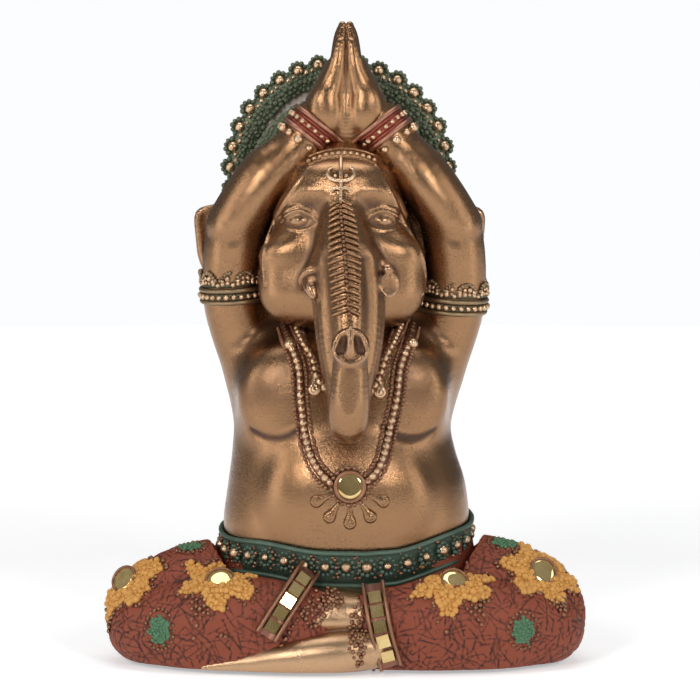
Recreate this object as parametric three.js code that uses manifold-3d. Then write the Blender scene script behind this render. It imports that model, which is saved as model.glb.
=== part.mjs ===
// A seated elephant-headed figure in cold-cast resin, hands joined above the head, with glued mirror trim.
// Millimetres, +Z up, the face towards -Y. The origin is the centre of the felt pad's underside.
// Right and left are the figure's own: its right side is at -X.
import * as THREE from "three";
import { mergeVertices } from "three/addons/utils/BufferGeometryUtils.js";
import Module from "manifold-3d";

const wasm = await Module();
wasm.setup();

// Clearances
const gap = 0.3; // between pieces that touch

// Overall sizes
const kneeSpan = 183; // outside of one knee to outside of the other
const beltZ = 45; // height of the belt's middle
const torsoLength = 84; // belt to shoulders
const headHeight = 67; // chin to crown of the head
const handLength = 42; // wrist to fingertips
const padWidth = 118;
const padDepth = 68;
const padThickness = 1.5;

// Sizes of single pieces
const upperArmRadius = 11.7;
const forearmRadius = 9.9;
const armletThickness = 1.6;
const armletHeight = 13;
const braceletThickness = 1.8;
const braceletHeight = 9;
const beltThickness = 2.2;
const beltHeight = 12;
const haloRadius = 46;
const haloRingWidth = 11.6;
const haloPlateThickness = 3.6;
const crownRadius = 36.6;
const roundMirrorRadius = 4.8;
const mirrorThickness = 1;
const mirrorProud = 0.4; // how far a mirror's face stands out of its setting
const tileSide = 5;
const tilesPerBand = 5;
const flowerRadius = 16;
const trimRise = 1.7; // how far a flower or rosette stands above the cloth
const pendantRadius = 6.3;
const tridentRise = 1.3;
const tuskRadius = 3.4;

// Landmarks worked out from the sizes
const shoulderZ = beltZ + torsoLength;
const chinZ = shoulderZ - 5;
const headTopZ = chinZ + headHeight;
const wristZ = headTopZ + 10;
const kneeX = kneeSpan / 2;
const hipX = 18;
const ankleX = 10.6; // inner end of a shin, where it meets the feet
const haloY = 22;
const haloCentre = [-2.9, haloY, headTopZ - 4.8];

// ---- Geometry helpers ----

function solidOf(geometry) {
  const bare = geometry.index ? geometry.toNonIndexed() : geometry;
  bare.deleteAttribute("normal");
  bare.deleteAttribute("uv");
  const merged = mergeVertices(bare, 1e-4);
  return new wasm.Manifold(
    new wasm.Mesh({
      numProp: 3,
      vertProperties: new Float32Array(merged.attributes.position.array),
      triVerts: new Uint32Array(merged.index.array),
    }),
  );
}

function geometryOf(solid) {
  const { vertProperties, triVerts, numProp } = solid.getMesh();
  const positions = new Float32Array((vertProperties.length / numProp) * 3);
  for (let i = 0; i < positions.length / 3; i++) {
    positions.set(vertProperties.subarray(i * numProp, i * numProp + 3), i * 3);
  }
  const geometry = new THREE.BufferGeometry();
  geometry.setAttribute("position", new THREE.BufferAttribute(positions, 3));
  geometry.setIndex(new THREE.BufferAttribute(new Uint32Array(triVerts), 1));
  geometry.computeVertexNormals();
  return geometry;
}

const joined = (solids) => solids.reduce((all, one) => all.add(one));

function ball([x, y, z], [rx, ry, rz], { grow, sides, rings }) {
  const geometry = new THREE.SphereGeometry(1, sides, rings);
  geometry.rotateX(Math.PI / 2);
  geometry.scale(rx + grow, ry + grow, rz + grow);
  return solidOf(geometry.translate(x, y, z));
}

function box([x, y, z], [width, depth, height]) {
  return solidOf(new THREE.BoxGeometry(width, depth, height).translate(x, y, z));
}

// A body lofted through stations [x, y, z, a, b]: a is its half size along `across`, b its other half size.
function loft(stations, across, { grow = 0, sides = 16, steps = 8 } = {}) {
  const line = new THREE.CatmullRomCurve3(
    stations.map(([x, y, z]) => new THREE.Vector3(x, y, z)), false, "catmullrom", 0.5);
  const sizes = new THREE.CatmullRomCurve3(
    stations.map(([, , , a, b]) => new THREE.Vector3(a, b, 0)), false, "catmullrom", 0.5);
  const geometry = new THREE.CylinderGeometry(1, 1, 1, sides, steps);
  const corners = geometry.attributes.position;
  const direction = new THREE.Vector3(...across).normalize();
  for (let i = 0; i < corners.count; i++) {
    const t = THREE.MathUtils.clamp(corners.getY(i) + 0.5, 0, 1);
    const tangent = line.getTangent(t);
    const first = direction.clone().addScaledVector(tangent, -direction.dot(tangent)).normalize();
    const second = new THREE.Vector3().crossVectors(first, tangent);
    const size = sizes.getPoint(t);
    const end = t === 0 ? -grow : t === 1 ? grow : 0;
    const place = line.getPoint(t)
      .addScaledVector(first, corners.getX(i) * (Math.max(size.x, 0.2) + grow))
      .addScaledVector(second, corners.getZ(i) * (Math.max(size.y, 0.2) + grow))
      .addScaledVector(tangent, end);
    corners.setXYZ(i, place.x, place.y, place.z);
  }
  return solidOf(geometry);
}

// An elliptical band: a closed ring of the given wall and height, turned and placed.
function band(centre, [rx, ry], wall, height, turn, { grow = 0, sides = 36 } = {}) {
  const inner = 1 - wall / Math.min(rx, ry);
  const half = height / 2 + grow;
  const side = grow / Math.min(rx, ry);
  const profile = [[1 + side, -half], [1 + side, half], [inner - side, half], [inner - side, -half]];
  profile.push(profile[0]);
  const geometry = new THREE.LatheGeometry(profile.map(([r, h]) => new THREE.Vector2(r, h)), sides);
  geometry.rotateX(Math.PI / 2);
  geometry.scale(rx, ry, 1);
  geometry.applyMatrix4(new THREE.Matrix4().makeRotationFromEuler(new THREE.Euler(...turn)));
  return solidOf(geometry.translate(...centre));
}

// A solid of revolution about the Y axis from a profile of [radius, y] that starts and ends on the axis.
function turned(profile, centre, sides = 48) {
  const geometry = new THREE.LatheGeometry(profile.map(([r, y]) => new THREE.Vector2(r, y)), sides);
  return solidOf(geometry.translate(...centre));
}

const skinOf = (solid) => new THREE.Mesh(geometryOf(solid));

// The point and outward direction where a line from `aim` along `outward` leaves a skin.
function surfaceAt(skin, aim, outward) {
  const direction = new THREE.Vector3(...outward).normalize();
  const start = new THREE.Vector3(...aim).addScaledVector(direction, 300);
  const ray = new THREE.Raycaster(start, direction.clone().negate());
  const [hit] = ray.intersectObject(skin);
  return { point: hit.point, normal: hit.face.normal.clone() };
}

// Stands a geometry made around +Z on a surface, its +X kept level.
function stand(geometry, { point, normal }, rise = 0) {
  const level = new THREE.Vector3(0, 0, 1).cross(normal).normalize();
  const upright = new THREE.Vector3().crossVectors(normal, level);
  const frame = new THREE.Matrix4().makeBasis(level, upright, normal);
  frame.setPosition(point.clone().addScaledVector(normal, rise));
  return solidOf(geometry.applyMatrix4(frame));
}

function puck(radius, thickness, sides = 18) {
  return new THREE.CylinderGeometry(radius, radius, thickness, sides).rotateX(Math.PI / 2);
}

// What is cut off flat under the figure, where it rests on its pad.
const floor = (grow) => box([0, 0, padThickness - grow - 100], [400, 400, 200]);

// ---- Body ----

const torso = (grow = 0) => {
  const at = (share) => beltZ + torsoLength * share;
  return loft([
    [-0.5, -1, at(-0.16), 46, 34],
    [-0.3, -2, at(0), 47.4, 35.4],
    [0.2, -2.5, at(0.26), 45.6, 35],
    [-1.5, -1.5, at(0.51), 41.9, 33],
    [-1, 0, at(0.7), 42.2, 30],
    [-0.5, 1, at(0.87), 39, 25.5],
    [-0.5, 2, at(1), 27, 18],
  ], [1, 0, 0], { grow, sides: 22, steps: 9 });
};

const legs = {
  right: { side: -1, topRise: 0 },
  left: { side: 1, topRise: 2.4 },
};

const leg = ({ side, topRise }) => (grow = 0) => {
  const out = (share) => side * (hipX + (kneeX - hipX) * share);
  const thigh = loft([
    [out(0), 2, 26, 30, 19],
    [out(0.33), -6, 24.5 + topRise / 2, 35, 20.5 + topRise / 2],
    [out(0.56), -11, 22.3 + topRise / 2, 32, 21 + topRise / 2],
    [out(0.8), -14, 18.9 + topRise / 2, 24, 17.6 + topRise / 2],
    [out(0.94), -14.5, 17.6, 14, 10.5],
    [out(1), -14.5, 17.4, 3, 3],
  ], [0, 1, 0], { grow, sides: 16, steps: 8 });
  const shin = loft([
    [out(0.78), -28, 15.5, 13, 13.5],
    [out(0.45), -32, 17.5, 17, 16.5],
    [side * (ankleX + 16.2), -33.5, 19, 16, 17.5],
    [side * ankleX, -33.5, 19, 14, 15],
  ], [0, 1, 0], { grow, sides: 14, steps: 4 });
  return thigh.add(shin).subtract(floor(grow));
};

const seat = (grow = 0) => loft([
  [0, 4, -1, 56, 32],
  [0, 5, 16, 63, 38],
  [0, 5, 34, 58, 37],
  [0, 3, beltZ + 1, 49, 34],
], [1, 0, 0], { grow, sides: 22, steps: 4 }).subtract(floor(grow));

const arms = {
  right: { side: -1, elbowX: 43.2, wristX: 13.5, armletRise: 14.4 },
  left: { side: 1, elbowX: 42, wristX: 14.6, armletRise: 10.2 },
};

const upperArm = ({ side, elbowX }, grow) => loft([
  [side * (elbowX - 13), 2, shoulderZ - 32, 10, 8],
  [side * (elbowX - 9), 2, shoulderZ - 22, 13.5, 11],
  [side * (elbowX - 5.2), 1, shoulderZ - 9, 13, 12.4],
  [side * elbowX, -1, shoulderZ + 9, upperArmRadius, upperArmRadius],
  [side * (elbowX + 0.2), -3, shoulderZ + 24, upperArmRadius - 0.4, upperArmRadius - 0.4],
  [side * (elbowX - 1.6), -5, shoulderZ + 37, upperArmRadius, upperArmRadius - 0.7],
], [0, 1, 0], { grow, sides: 14, steps: 6 });

const arm = (which) => (grow = 0) => {
  const { side, elbowX, wristX } = which;
  const elbow = ball([side * (elbowX - 2), -5, shoulderZ + 37], [upperArmRadius, 11, 12],
    { grow, sides: 14, rings: 8 });
  const forearm = loft([
    [side * (elbowX - 2.5), -6, shoulderZ + 38, 11, 11],
    [side * (elbowX - 12), -8, shoulderZ + 52.5, forearmRadius + 0.4, forearmRadius],
    [side * (wristX + 6.5), -8, wristZ - 7.5, forearmRadius, forearmRadius - 0.2],
    [side * wristX, -8, wristZ, forearmRadius, forearmRadius],
    [side * (wristX - 4), -8, wristZ + 5, forearmRadius, forearmRadius - 1],
  ], [0, 1, 0], { grow, sides: 14, steps: 5 });
  const ownSide = box([side * (100 + gap / 2 - grow), 0, shoulderZ], [200, 400, 400]);
  return joined([upperArm(which, grow), elbow, forearm]).intersect(ownSide);
};

const hand = (side) => (grow = 0) => {
  const up = (share) => wristZ + handLength * share;
  const palm = loft([
    [side * 8, -8, up(0.0), 9, 7.5],
    [side * 7.6, -8, up(0.14), 11.5, 8.4],
    [side * 6.6, -8, up(0.3), 13, 9],
    [side * 4.6, -8, up(0.46), 12.5, 7],
    [side * 3.3, -8, up(0.66), 11, 4.9],
    [side * 2.6, -8, up(0.84), 9, 3.7],
    [side * 1.6, -8, up(1), 3.5, 1.6],
  ], [0, 1, 0], { grow, sides: 14, steps: 8 });
  const ownSide = box([side * (100 + gap / 2 - grow), 0, wristZ], [200, 400, 400]);
  return palm.intersect(ownSide);
};

// ---- Head ----

const head = (grow = 0) => {
  const at = (share) => chinZ + headHeight * share;
  return loft([
    [-0.5, -8, at(0), 11, 9],
    [-0.5, -8, at(0.09), 25, 19],
    [-0.5, -8, at(0.24), 31, 24],
    [-0.5, -8, at(0.37), 30.6, 24.5],
    [-0.5, -7, at(0.52), 26.8, 24.5],
    [-0.5, -6, at(0.68), 25, 25],
    [-0.5, -5, at(0.84), 23.6, 24.4],
    [-0.5, -4, at(0.94), 19.5, 20.5],
    [-0.5, -3, at(1), 11, 12],
  ], [1, 0, 0], { grow, sides: 22, steps: 11 });
};

const trunk = (grow = 0) => loft([
  [-1, -28, chinZ + 52, 4, 3.4],
  [-0.7, -32, chinZ + 36, 10, 8],
  [0.9, -36.5, chinZ + 18, 12.2, 11.4],
  [1.3, -41.5, chinZ - 2, 11.1, 10.4],
  [1.3, -44.5, chinZ - 14.5, 8.9, 8.4],
  [1, -47.5, chinZ - 27, 7.6, 7.1],
  [0.8, -53.2, chinZ - 31.8, 6.7, 5.8],
  [1, -59, chinZ - 26.5, 6.9, 5.9],
  [1.5, -61, chinZ - 16, 7, 6],
  [1.7, -61.5, chinZ - 6, 7.2, 6.2],
  [1.7, -61, chinZ + 1.5, 6.2, 5],
], [1, 0, 0], { grow, sides: 12, steps: 19 });

const tusk = (x, z) => (grow = 0) => loft([
  [x * 0.95, -24, z + 4, tuskRadius, tuskRadius],
  [x, -34, z + 2, tuskRadius, tuskRadius],
  [x, -43, z - 1, tuskRadius - 0.4, tuskRadius - 0.4],
  [x, -46, z - 2, tuskRadius - 1.2, tuskRadius - 1.2],
], [1, 0, 0], { grow, sides: 10, steps: 4 });

const ear = (side, reach) => (grow = 0) => loft([
  [side * (reach - 40), 6, chinZ + 34, 16, 4.5],
  [side * (reach - 24), 8, chinZ + 34, 19, 3.4],
  [side * (reach - 10), 9.5, chinZ + 33.5, 16, 2.6],
  [side * (reach - 3), 10.5, chinZ + 34, 10, 2],
  [side * reach, 11, chinZ + 35, 3, 1.2],
], [0, 0, 1], { grow, sides: 14, steps: 6 });

// A trident on the forehead: a stem, a crossbar and three prongs, all on the head's surface.
const trident = (grow = 0) => {
  const size = (width, height) => [width + 2 * grow, 24 + 2 * grow, height + 2 * grow];
  const y = -22;
  const x = -1.6;
  return joined([
    box([x, y, headTopZ - 9], size(1.5, 14)),
    box([x, y, headTopZ - 9.5], size(9, 1.5)),
    box([x - 4, y, headTopZ - 6.5], size(1.3, 6)),
    box([x + 4, y, headTopZ - 6.5], size(1.3, 6)),
  ]).intersect(head(tridentRise + grow));
};

// ---- Crown and halo ----

const halo = (grow = 0) => {
  const inner = haloRadius - haloRingWidth - grow;
  const half = haloPlateThickness / 2 + grow;
  const full = haloRadius + grow;
  return turned([
    [0, -half], [inner, -half], [inner + 1.5, -5 - grow], [haloRadius - 5, -6.5 - grow],
    [full - 0.8, -4 - grow], [full, 0], [full - 0.8, 4 + grow], [haloRadius - 5, 5.5 + grow],
    [inner - 1, half], [0, half],
  ], haloCentre, 33);
};

const crown = (grow = 0) => {
  const dome = ball([-2.9, 6, headTopZ - 12], [crownRadius, 19, crownRadius], { grow, sides: 20, rings: 10 });
  const below = solidOf(
    new THREE.BoxGeometry(200, 200, 100).translate(0, 0, -50 - grow)
      .rotateX(-0.25).translate(0, 0, headTopZ - 24));
  const brim = head(2.4 + grow).intersect(box([0, 0, headTopZ - 3.5 - grow + 50], [120, 120, 100]));
  return dome.subtract(below).add(brim);
};

// ---- Ornaments ----

const beltTurn = [0.19, -0.058, 0];
const belt = (grow = 0) => band([-0.2, -1.8, beltZ], [49.6, 38], beltThickness + 3, beltHeight, beltTurn,
  { grow, sides: 28 });

const armlet = (which) => (grow = 0) => {
  const z = shoulderZ + which.armletRise;
  const slab = box([0, 0, z], [400, 400, armletHeight + 2 * grow]);
  return upperArm(which, armletThickness + grow).intersect(slab);
};

const bracelet = ({ side, wristX }) => (grow = 0) => band(
  [side * (wristX + 0.4), -8, wristZ], [forearmRadius + braceletThickness, forearmRadius + braceletThickness],
  braceletThickness + 2, braceletHeight, [0, side * -0.72, 0], { grow, sides: 18 });

const torsoSkin = skinOf(torso());
const chestPoint = (x, z, proud) => {
  const { point } = surfaceAt(torsoSkin, [x, 0, z], [0, -1, 0]);
  return [x, point.y - proud, z];
};

// A strip laid on the chest through points [x, z], half as thick as `half` and `width` wide.
const chestStrip = (points, half, width) => (grow = 0) => loft(
  points.map(([x, z]) => [...chestPoint(x, z, half * 0.4), half, width / 2]),
  [0, 1, 0], { grow, sides: 6, steps: Math.round(points.length * 1.6) });

const chest = (share) => beltZ + torsoLength * share;

const rightStrand = chestStrip([
  [-24, chest(0.97)], [-21.5, chest(0.93)], [-17.5, chest(0.83)], [-17.3, chest(0.66)], [-15.5, chest(0.5)],
  [-11, chest(0.385)], [-5.5, chest(0.325)],
], 1.5, 7);
const leftStrand = chestStrip([
  [24.5, chest(0.97)], [22.5, chest(0.93)], [19.8, chest(0.83)], [18.8, chest(0.66)], [15.8, chest(0.5)],
  [12.4, chest(0.4)], [7.5, chest(0.33)],
], 1.5, 7);

const innerNecklace = chestStrip([
  [-20, chest(0.97)], [-17.5, chest(0.93)], [-13.5, chest(0.885)], [-10.5, chest(0.8)], [-4, chest(0.74)],
  [5, chest(0.74)], [12, chest(0.79)], [15.5, chest(0.87)], [19, chest(0.93)], [22, chest(0.97)],
], 1.3, 4);

const pendantSeat = surfaceAt(torsoSkin, [1.3, 0, chest(0.283)], [0, -1, 0]);
const pendantRise = 1.6;
const pendantDrops = [-62, -31, 0, 31, 62].map((angle) => THREE.MathUtils.degToRad(angle));

const pendant = (grow = 0) => {
  const disc = puck(pendantRadius + 1 + grow, 4 + 2 * grow, 16);
  const drop = (angle) => {
    const geometry = new THREE.SphereGeometry(1, 6, 5);
    geometry.scale(2.2 + grow, 4.6 + grow, 2 + grow);
    geometry.translate(0, -(pendantRadius + 4.2), 0).rotateZ(angle);
    return stand(geometry, pendantSeat, 0.5);
  };
  return joined([stand(disc, pendantSeat, pendantRise - 2), ...pendantDrops.map(drop)]);
};

const pendantMirror = (grow = 0) => stand(
  puck(roundMirrorRadius + grow, mirrorThickness + 2 * grow),
  pendantSeat, pendantRise - mirrorThickness / 2 + mirrorProud);

// ---- Dhoti trim ----

const cloth = (grow) => joined([leg(legs.right)(grow), leg(legs.left)(grow), seat(grow)]);
const clothSkin = skinOf(cloth(0));

// Rounded star of `points` petals, `deep` above and below its seat.
function starPrism(radius, petals, deep) {
  const outline = new THREE.Shape();
  const count = petals * 2;
  for (let i = 0; i <= count; i++) {
    const angle = (i / count) * 2 * Math.PI;
    const r = radius * (0.84 + 0.16 * Math.cos(petals * angle));
    outline[i === 0 ? "moveTo" : "lineTo"](r * Math.cos(angle), r * Math.sin(angle));
  }
  return new THREE.ExtrudeGeometry(outline, { depth: 2 * deep, bevelEnabled: false }).translate(0, 0, -deep);
}

// A patch of the given prism that follows the cloth, standing `trimRise` above it.
const patch = (seatOn, prism, grow) => stand(prism, seatOn).intersect(cloth(trimRise + grow));

const kneeAim = kneeX - 26;
const flowers = [
  { name: "right_knee", aim: [-kneeAim, -14, 19], outward: [-17, -6, 11] },
  { name: "right_thigh", aim: [-46, -12, 19], outward: [-1, -25, 15] },
  { name: "left_thigh", aim: [40, -12, 19], outward: [0, -25, 13] },
  { name: "left_knee", aim: [kneeAim, -14, 20], outward: [11, -13, 19] },
  { name: "back", aim: [0, 0, 22], outward: [0, 30, 4] },
].map((flower) => ({ ...flower, on: surfaceAt(clothSkin, flower.aim, flower.outward) }));

const flowerPatch = ({ on }) => (grow = 0) => patch(on, starPrism(flowerRadius + grow, 6, 9), grow);
const flowerMirror = ({ on }) => (grow = 0) => stand(
  puck(roundMirrorRadius + grow, mirrorThickness + 2 * grow), on, trimRise - mirrorThickness / 2 + mirrorProud);

const rosettes = [
  { name: "right_shin", aim: [-62, -12, 17], outward: [-6, -25, -1], radius: 6.5 },
  { name: "left_shin", aim: [60, -12, 17], outward: [4, -25, -1], radius: 7 },
  { name: "right_thigh", aim: [-57, -8, 20], outward: [-2, -6, 20], radius: 5 },
  { name: "left_thigh", aim: [58, -8, 20], outward: [2, -6, 20], radius: 5 },
  { name: "right_back", aim: [-46, 4, 20], outward: [-8, 24, 3], radius: 6 },
  { name: "left_back", aim: [46, 4, 20], outward: [8, 24, 3], radius: 6 },
].map((rosette) => ({ ...rosette, on: surfaceAt(clothSkin, rosette.aim, rosette.outward) }));

const rosettePatch = ({ on, radius }) => (grow = 0) => patch(on, starPrism(radius + grow, 7, 6), grow);

// ---- Feet, ankle bands and their tiles ----

const frontFoot = (grow = 0) => loft([
  [-54, -42, 5, 2.5, 2.5],
  [-48, -43, 6, 6, 4.8],
  [-34, -44, 8, 9, 7.2],
  [-16, -44.5, 9, 10, 8.6],
  [2, -44.5, 9, 10, 8.7],
  [10, -43, 8.6, 7.5, 7],
], [0, 1, 0], { grow, sides: 14, steps: 7 })
  .subtract(floor(grow));

const rearFoot = (grow = 0) => loft([
  [-26, -38, 18, 7, 6],
  [-14, -39, 21, 9.5, 9.5],
  [-2, -39, 22, 10, 11],
  [9, -38, 20, 8.5, 10],
], [0, 1, 0], { grow, sides: 12, steps: 4 });

// Each band's line over the shins, from top to bottom.
const bandLines = {
  right: [
    [-13.5, -36, 38], [-17, -42, 33.5], [-21, -46.6, 28],
    [-25, -49.6, 22], [-29, -50.8, 15.5], [-31, -51, 12],
  ],
  left: [
    [9.5, -39, 34], [10.6, -44, 29], [11.8, -48, 22],
    [13.2, -49.3, 15], [15, -48.6, 9], [16, -46, 4.5],
  ],
};
const bandWidth = 8.6;
// Where along its band the first and the last tile sit, as parts of the band's length.
const tileSpan = { right: [0.2, 0.78], left: [0.25, 0.87] };
const bandHalf = 1.6;

const ankleBand = (points) => (grow = 0) => loft(
  points.map((at) => [...at, bandHalf, bandWidth / 2]),
  [0, 1, 0], { grow, sides: 6, steps: 5 })
  .subtract(floor(grow));

const tileSeats = (points, [first, last]) => {
  const line = new THREE.CatmullRomCurve3(points.map((at) => new THREE.Vector3(...at)));
  return Array.from({ length: tilesPerBand }, (_, i) => {
    const t = first + ((last - first) * i) / (tilesPerBand - 1);
    const along = line.getTangentAt(t);
    const facing = new THREE.Vector3(0, -1, 0).addScaledVector(along, along.y).normalize();
    return { point: line.getPointAt(t), along, facing };
  });
};

const tile = ({ point, along, facing }) => (grow = 0) => {
  const side = tileSide - 0.4 + 2 * grow;
  const geometry = new THREE.BoxGeometry(side, side, mirrorThickness + 2 * grow);
  const across = new THREE.Vector3().crossVectors(along, facing);
  const frame = new THREE.Matrix4().makeBasis(across, along, facing);
  frame.setPosition(point.clone().addScaledVector(facing, bandHalf - mirrorThickness / 2 + mirrorProud));
  return solidOf(geometry.applyMatrix4(frame));
};

const pad = (grow = 0) => {
  const geometry = new THREE.CylinderGeometry(1, 1, padThickness - gap + 2 * grow, 40);
  geometry.rotateX(Math.PI / 2).scale(padWidth / 2, padDepth / 2, 1);
  return solidOf(geometry.translate(0, 0, (padThickness - gap) / 2));
};

// ---- Materials ----

const finish = (color, roughness, metalness) => ({ color, roughness, metalness });
const gold = finish(0xb08a62, 0.35, 0.9);
const copper = finish(0x9c5440, 0.45, 0.7);
const redCloth = finish(0x9a5442, 0.6, 0.1);
const yellowPaint = finish(0xb98a48, 0.6, 0.1);
const greenPaint = finish(0x4f6a52, 0.55, 0.3);
const darkGreen = finish(0x38362a, 0.5, 0.4);
const mirror = finish(0xd9b676, 0.05, 1);
const felt = finish(0x2c2a28, 0.95, 0);

// ---- The figure ----

// Pieces in order: each one is cut clear of every piece named before it.
const pieces = [
  ["trunk", trunk, gold],
  ["right_tusk", tusk(-12.2, chinZ + 20.5), gold],
  ["left_tusk", tusk(15.4, chinZ + 21.5), gold],
  ["right_hand", hand(-1), gold],
  ["left_hand", hand(1), gold],
  ["head", head, gold],
  ["right_arm", arm(arms.right), gold],
  ["left_arm", arm(arms.left), gold],
  ["halo", halo, greenPaint],
  ["crown", crown, greenPaint],
  ["right_ear", ear(-1, 58.5), gold],
  ["left_ear", ear(1, 53.5), gold],
  ["torso", torso, gold],
  ["front_foot", frontFoot, gold],
  ["rear_foot", rearFoot, gold],
  ["right_leg", leg(legs.right), redCloth],
  ["left_leg", leg(legs.left), redCloth],
  ["dhoti_seat", seat, redCloth],
  ...Object.entries(bandLines).flatMap(([side, points]) => tileSeats(points, tileSpan[side]).map((at, i) => (
    [`${side}_ankle_mirror_tile_${i + 1}`, tile(at), mirror]))),
  ...flowers.map((flower) => [`${flower.name}_flower_mirror`, flowerMirror(flower), mirror]),
  ["pendant_mirror", pendantMirror, mirror],
  ["pendant_setting", pendant, gold],
  ["forehead_trident", trident, copper],
  ["right_necklace_strand", rightStrand, gold],
  ["left_necklace_strand", leftStrand, gold],
  ["inner_necklace", innerNecklace, gold],
  ["right_armlet", armlet(arms.right), gold],
  ["left_armlet", armlet(arms.left), gold],
  ["right_bracelet", bracelet(arms.right), copper],
  ["left_bracelet", bracelet(arms.left), copper],
  ["belt", belt, darkGreen],
  ["right_ankle_band", ankleBand(bandLines.right), copper],
  ["left_ankle_band", ankleBand(bandLines.left), copper],
  ...flowers.map((flower) => [`${flower.name}_flower`, flowerPatch(flower), yellowPaint]),
  ...rosettes.map((rosette) => [`${rosette.name}_rosette`, rosettePatch(rosette), greenPaint]),
  ["felt_pad", pad, felt],
];

function overlaps(a, b) {
  return [0, 1, 2].every((i) => a.min[i] < b.max[i] && b.min[i] < a.max[i]);
}

// The largest separate body, so that a crumb left beside a cut goes.
function mainBody(solid) {
  return solid.decompose().sort((a, b) => b.volume() - a.volume())[0];
}

const figure = new THREE.Group();
const placed = [];
for (const [name, make, look] of pieces) {
  const whole = make();
  const reach = whole.boundingBox();
  const cutters = placed.filter(({ reach: other }) => overlaps(reach, other)).map(({ grown }) => grown);
  const solid = mainBody(cutters.length ? whole.subtract(joined(cutters)) : whole);
  const grown = make(gap);
  placed.push({ grown, reach: grown.boundingBox() });
  const mesh = new THREE.Mesh(geometryOf(solid), new THREE.MeshStandardMaterial(look));
  mesh.name = name;
  figure.add(mesh);
}

export default figure;
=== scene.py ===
"""A seated elephant-headed figurine in painted cast resin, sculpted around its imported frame."""
import math

import bpy
import numpy as np
import openvdb
from mathutils import Matrix, Vector
from mathutils.bvhtree import BVHTree


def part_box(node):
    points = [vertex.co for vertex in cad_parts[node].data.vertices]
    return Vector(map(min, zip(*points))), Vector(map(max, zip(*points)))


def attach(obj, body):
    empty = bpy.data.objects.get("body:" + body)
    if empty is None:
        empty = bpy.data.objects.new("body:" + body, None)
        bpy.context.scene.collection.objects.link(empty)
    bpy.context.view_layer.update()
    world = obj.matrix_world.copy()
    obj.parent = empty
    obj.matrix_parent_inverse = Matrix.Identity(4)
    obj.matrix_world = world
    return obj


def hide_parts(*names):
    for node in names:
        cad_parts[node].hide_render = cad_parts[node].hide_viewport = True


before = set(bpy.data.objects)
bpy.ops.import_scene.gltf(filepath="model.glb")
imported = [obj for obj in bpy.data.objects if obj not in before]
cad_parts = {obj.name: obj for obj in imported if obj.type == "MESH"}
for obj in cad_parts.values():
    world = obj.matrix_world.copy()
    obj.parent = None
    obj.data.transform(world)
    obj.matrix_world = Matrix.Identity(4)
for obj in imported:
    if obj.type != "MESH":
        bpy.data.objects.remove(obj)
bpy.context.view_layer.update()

MM = 0.001  # the sculpting below is in millimetres, the scene in metres
FAR = 6.0  # the furthest distance that the clay keeps


# ---- The frame's landmarks, in millimetres ----

def cad_box(node):
    low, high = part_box(node)
    return np.array(low) / MM, np.array(high) / MM


def cad_middle(node):
    low, high = cad_box(node)
    return (low + high) / 2


BELT_Z = cad_middle("belt")[2]
SHOULDER_Z = cad_box("torso")[1][2]
CHIN_Z = cad_box("head")[0][2]
HEAD_TOP_Z = cad_box("head")[1][2]
WRIST_Z = cad_box("right_hand")[0][2]
TIP_Z = cad_box("right_hand")[1][2]
FLOOR_Z = cad_box("right_leg")[0][2]
SIDES = ("right", "left")  # the figure's own; its right is -X


def ankle_tiles(side):
    return [f"{side}_ankle_mirror_tile_{i}" for i in range(1, 6)]


# ---- Clay: a grid of distances, shaped by adding and cutting rounded forms ----

def smooth_line(points, count):
    """Catmull-Rom points through rows of numbers, `count` of them, even in parameter."""
    rows = np.array(points, float)
    rows = np.vstack([2 * rows[0] - rows[1], rows, 2 * rows[-1] - rows[-2]])
    t = np.linspace(0, len(points) - 1, count)
    i = np.minimum(t.astype(int), len(points) - 2)
    u = (t - i)[:, None]
    a, b, c, d = rows[i], rows[i + 1], rows[i + 2], rows[i + 3]
    return 0.5 * (2 * b + (c - a) * u + (2 * a - 5 * b + 4 * c - d) * u**2 + (3 * b - a - 3 * c + d) * u**3)


def turn_matrix(degrees):
    x, y, z = (math.radians(v) for v in degrees)
    return np.array(Matrix.Rotation(z, 3, "Z") @ Matrix.Rotation(y, 3, "Y") @ Matrix.Rotation(x, 3, "X"))


def unit(vector):
    vector = np.array(vector, float)
    return vector / np.linalg.norm(vector)


def unit_rows(rows):
    return rows / np.linalg.norm(rows, axis=1, keepdims=True)


def face_axes(normal):
    """The level and the upright direction in the plane that a normal stands on."""
    level = unit(np.cross((0, 0, 1), normal))
    return level, np.cross(normal, level)


def whole_turn(count):
    return np.linspace(0, 2 * math.pi, count, endpoint=False)


def ball(centre, radii, turn=(0, 0, 0)):
    """An ellipsoid, turned about X, then Y, then Z by degrees."""
    centre, radii = np.array(centre, float), np.array(radii, float)
    back = turn_matrix(turn).T
    reach = np.full(3, radii.max()) if any(turn) else radii

    def distance(x, y, z):
        x, y, z = x - centre[0], y - centre[1], z - centre[2]
        if any(turn):
            x, y, z = (back[i, 0] * x + back[i, 1] * y + back[i, 2] * z for i in range(3))
        near = (x / radii[0]) ** 2 + (y / radii[1]) ** 2 + (z / radii[2]) ** 2
        far = (x / radii[0] ** 2) ** 2 + (y / radii[1] ** 2) ** 2 + (z / radii[2] ** 2) ** 2
        near = np.sqrt(near)
        return near * (near - 1) / np.sqrt(np.maximum(far, 1e-9))

    return centre - reach, centre + reach, distance


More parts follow.
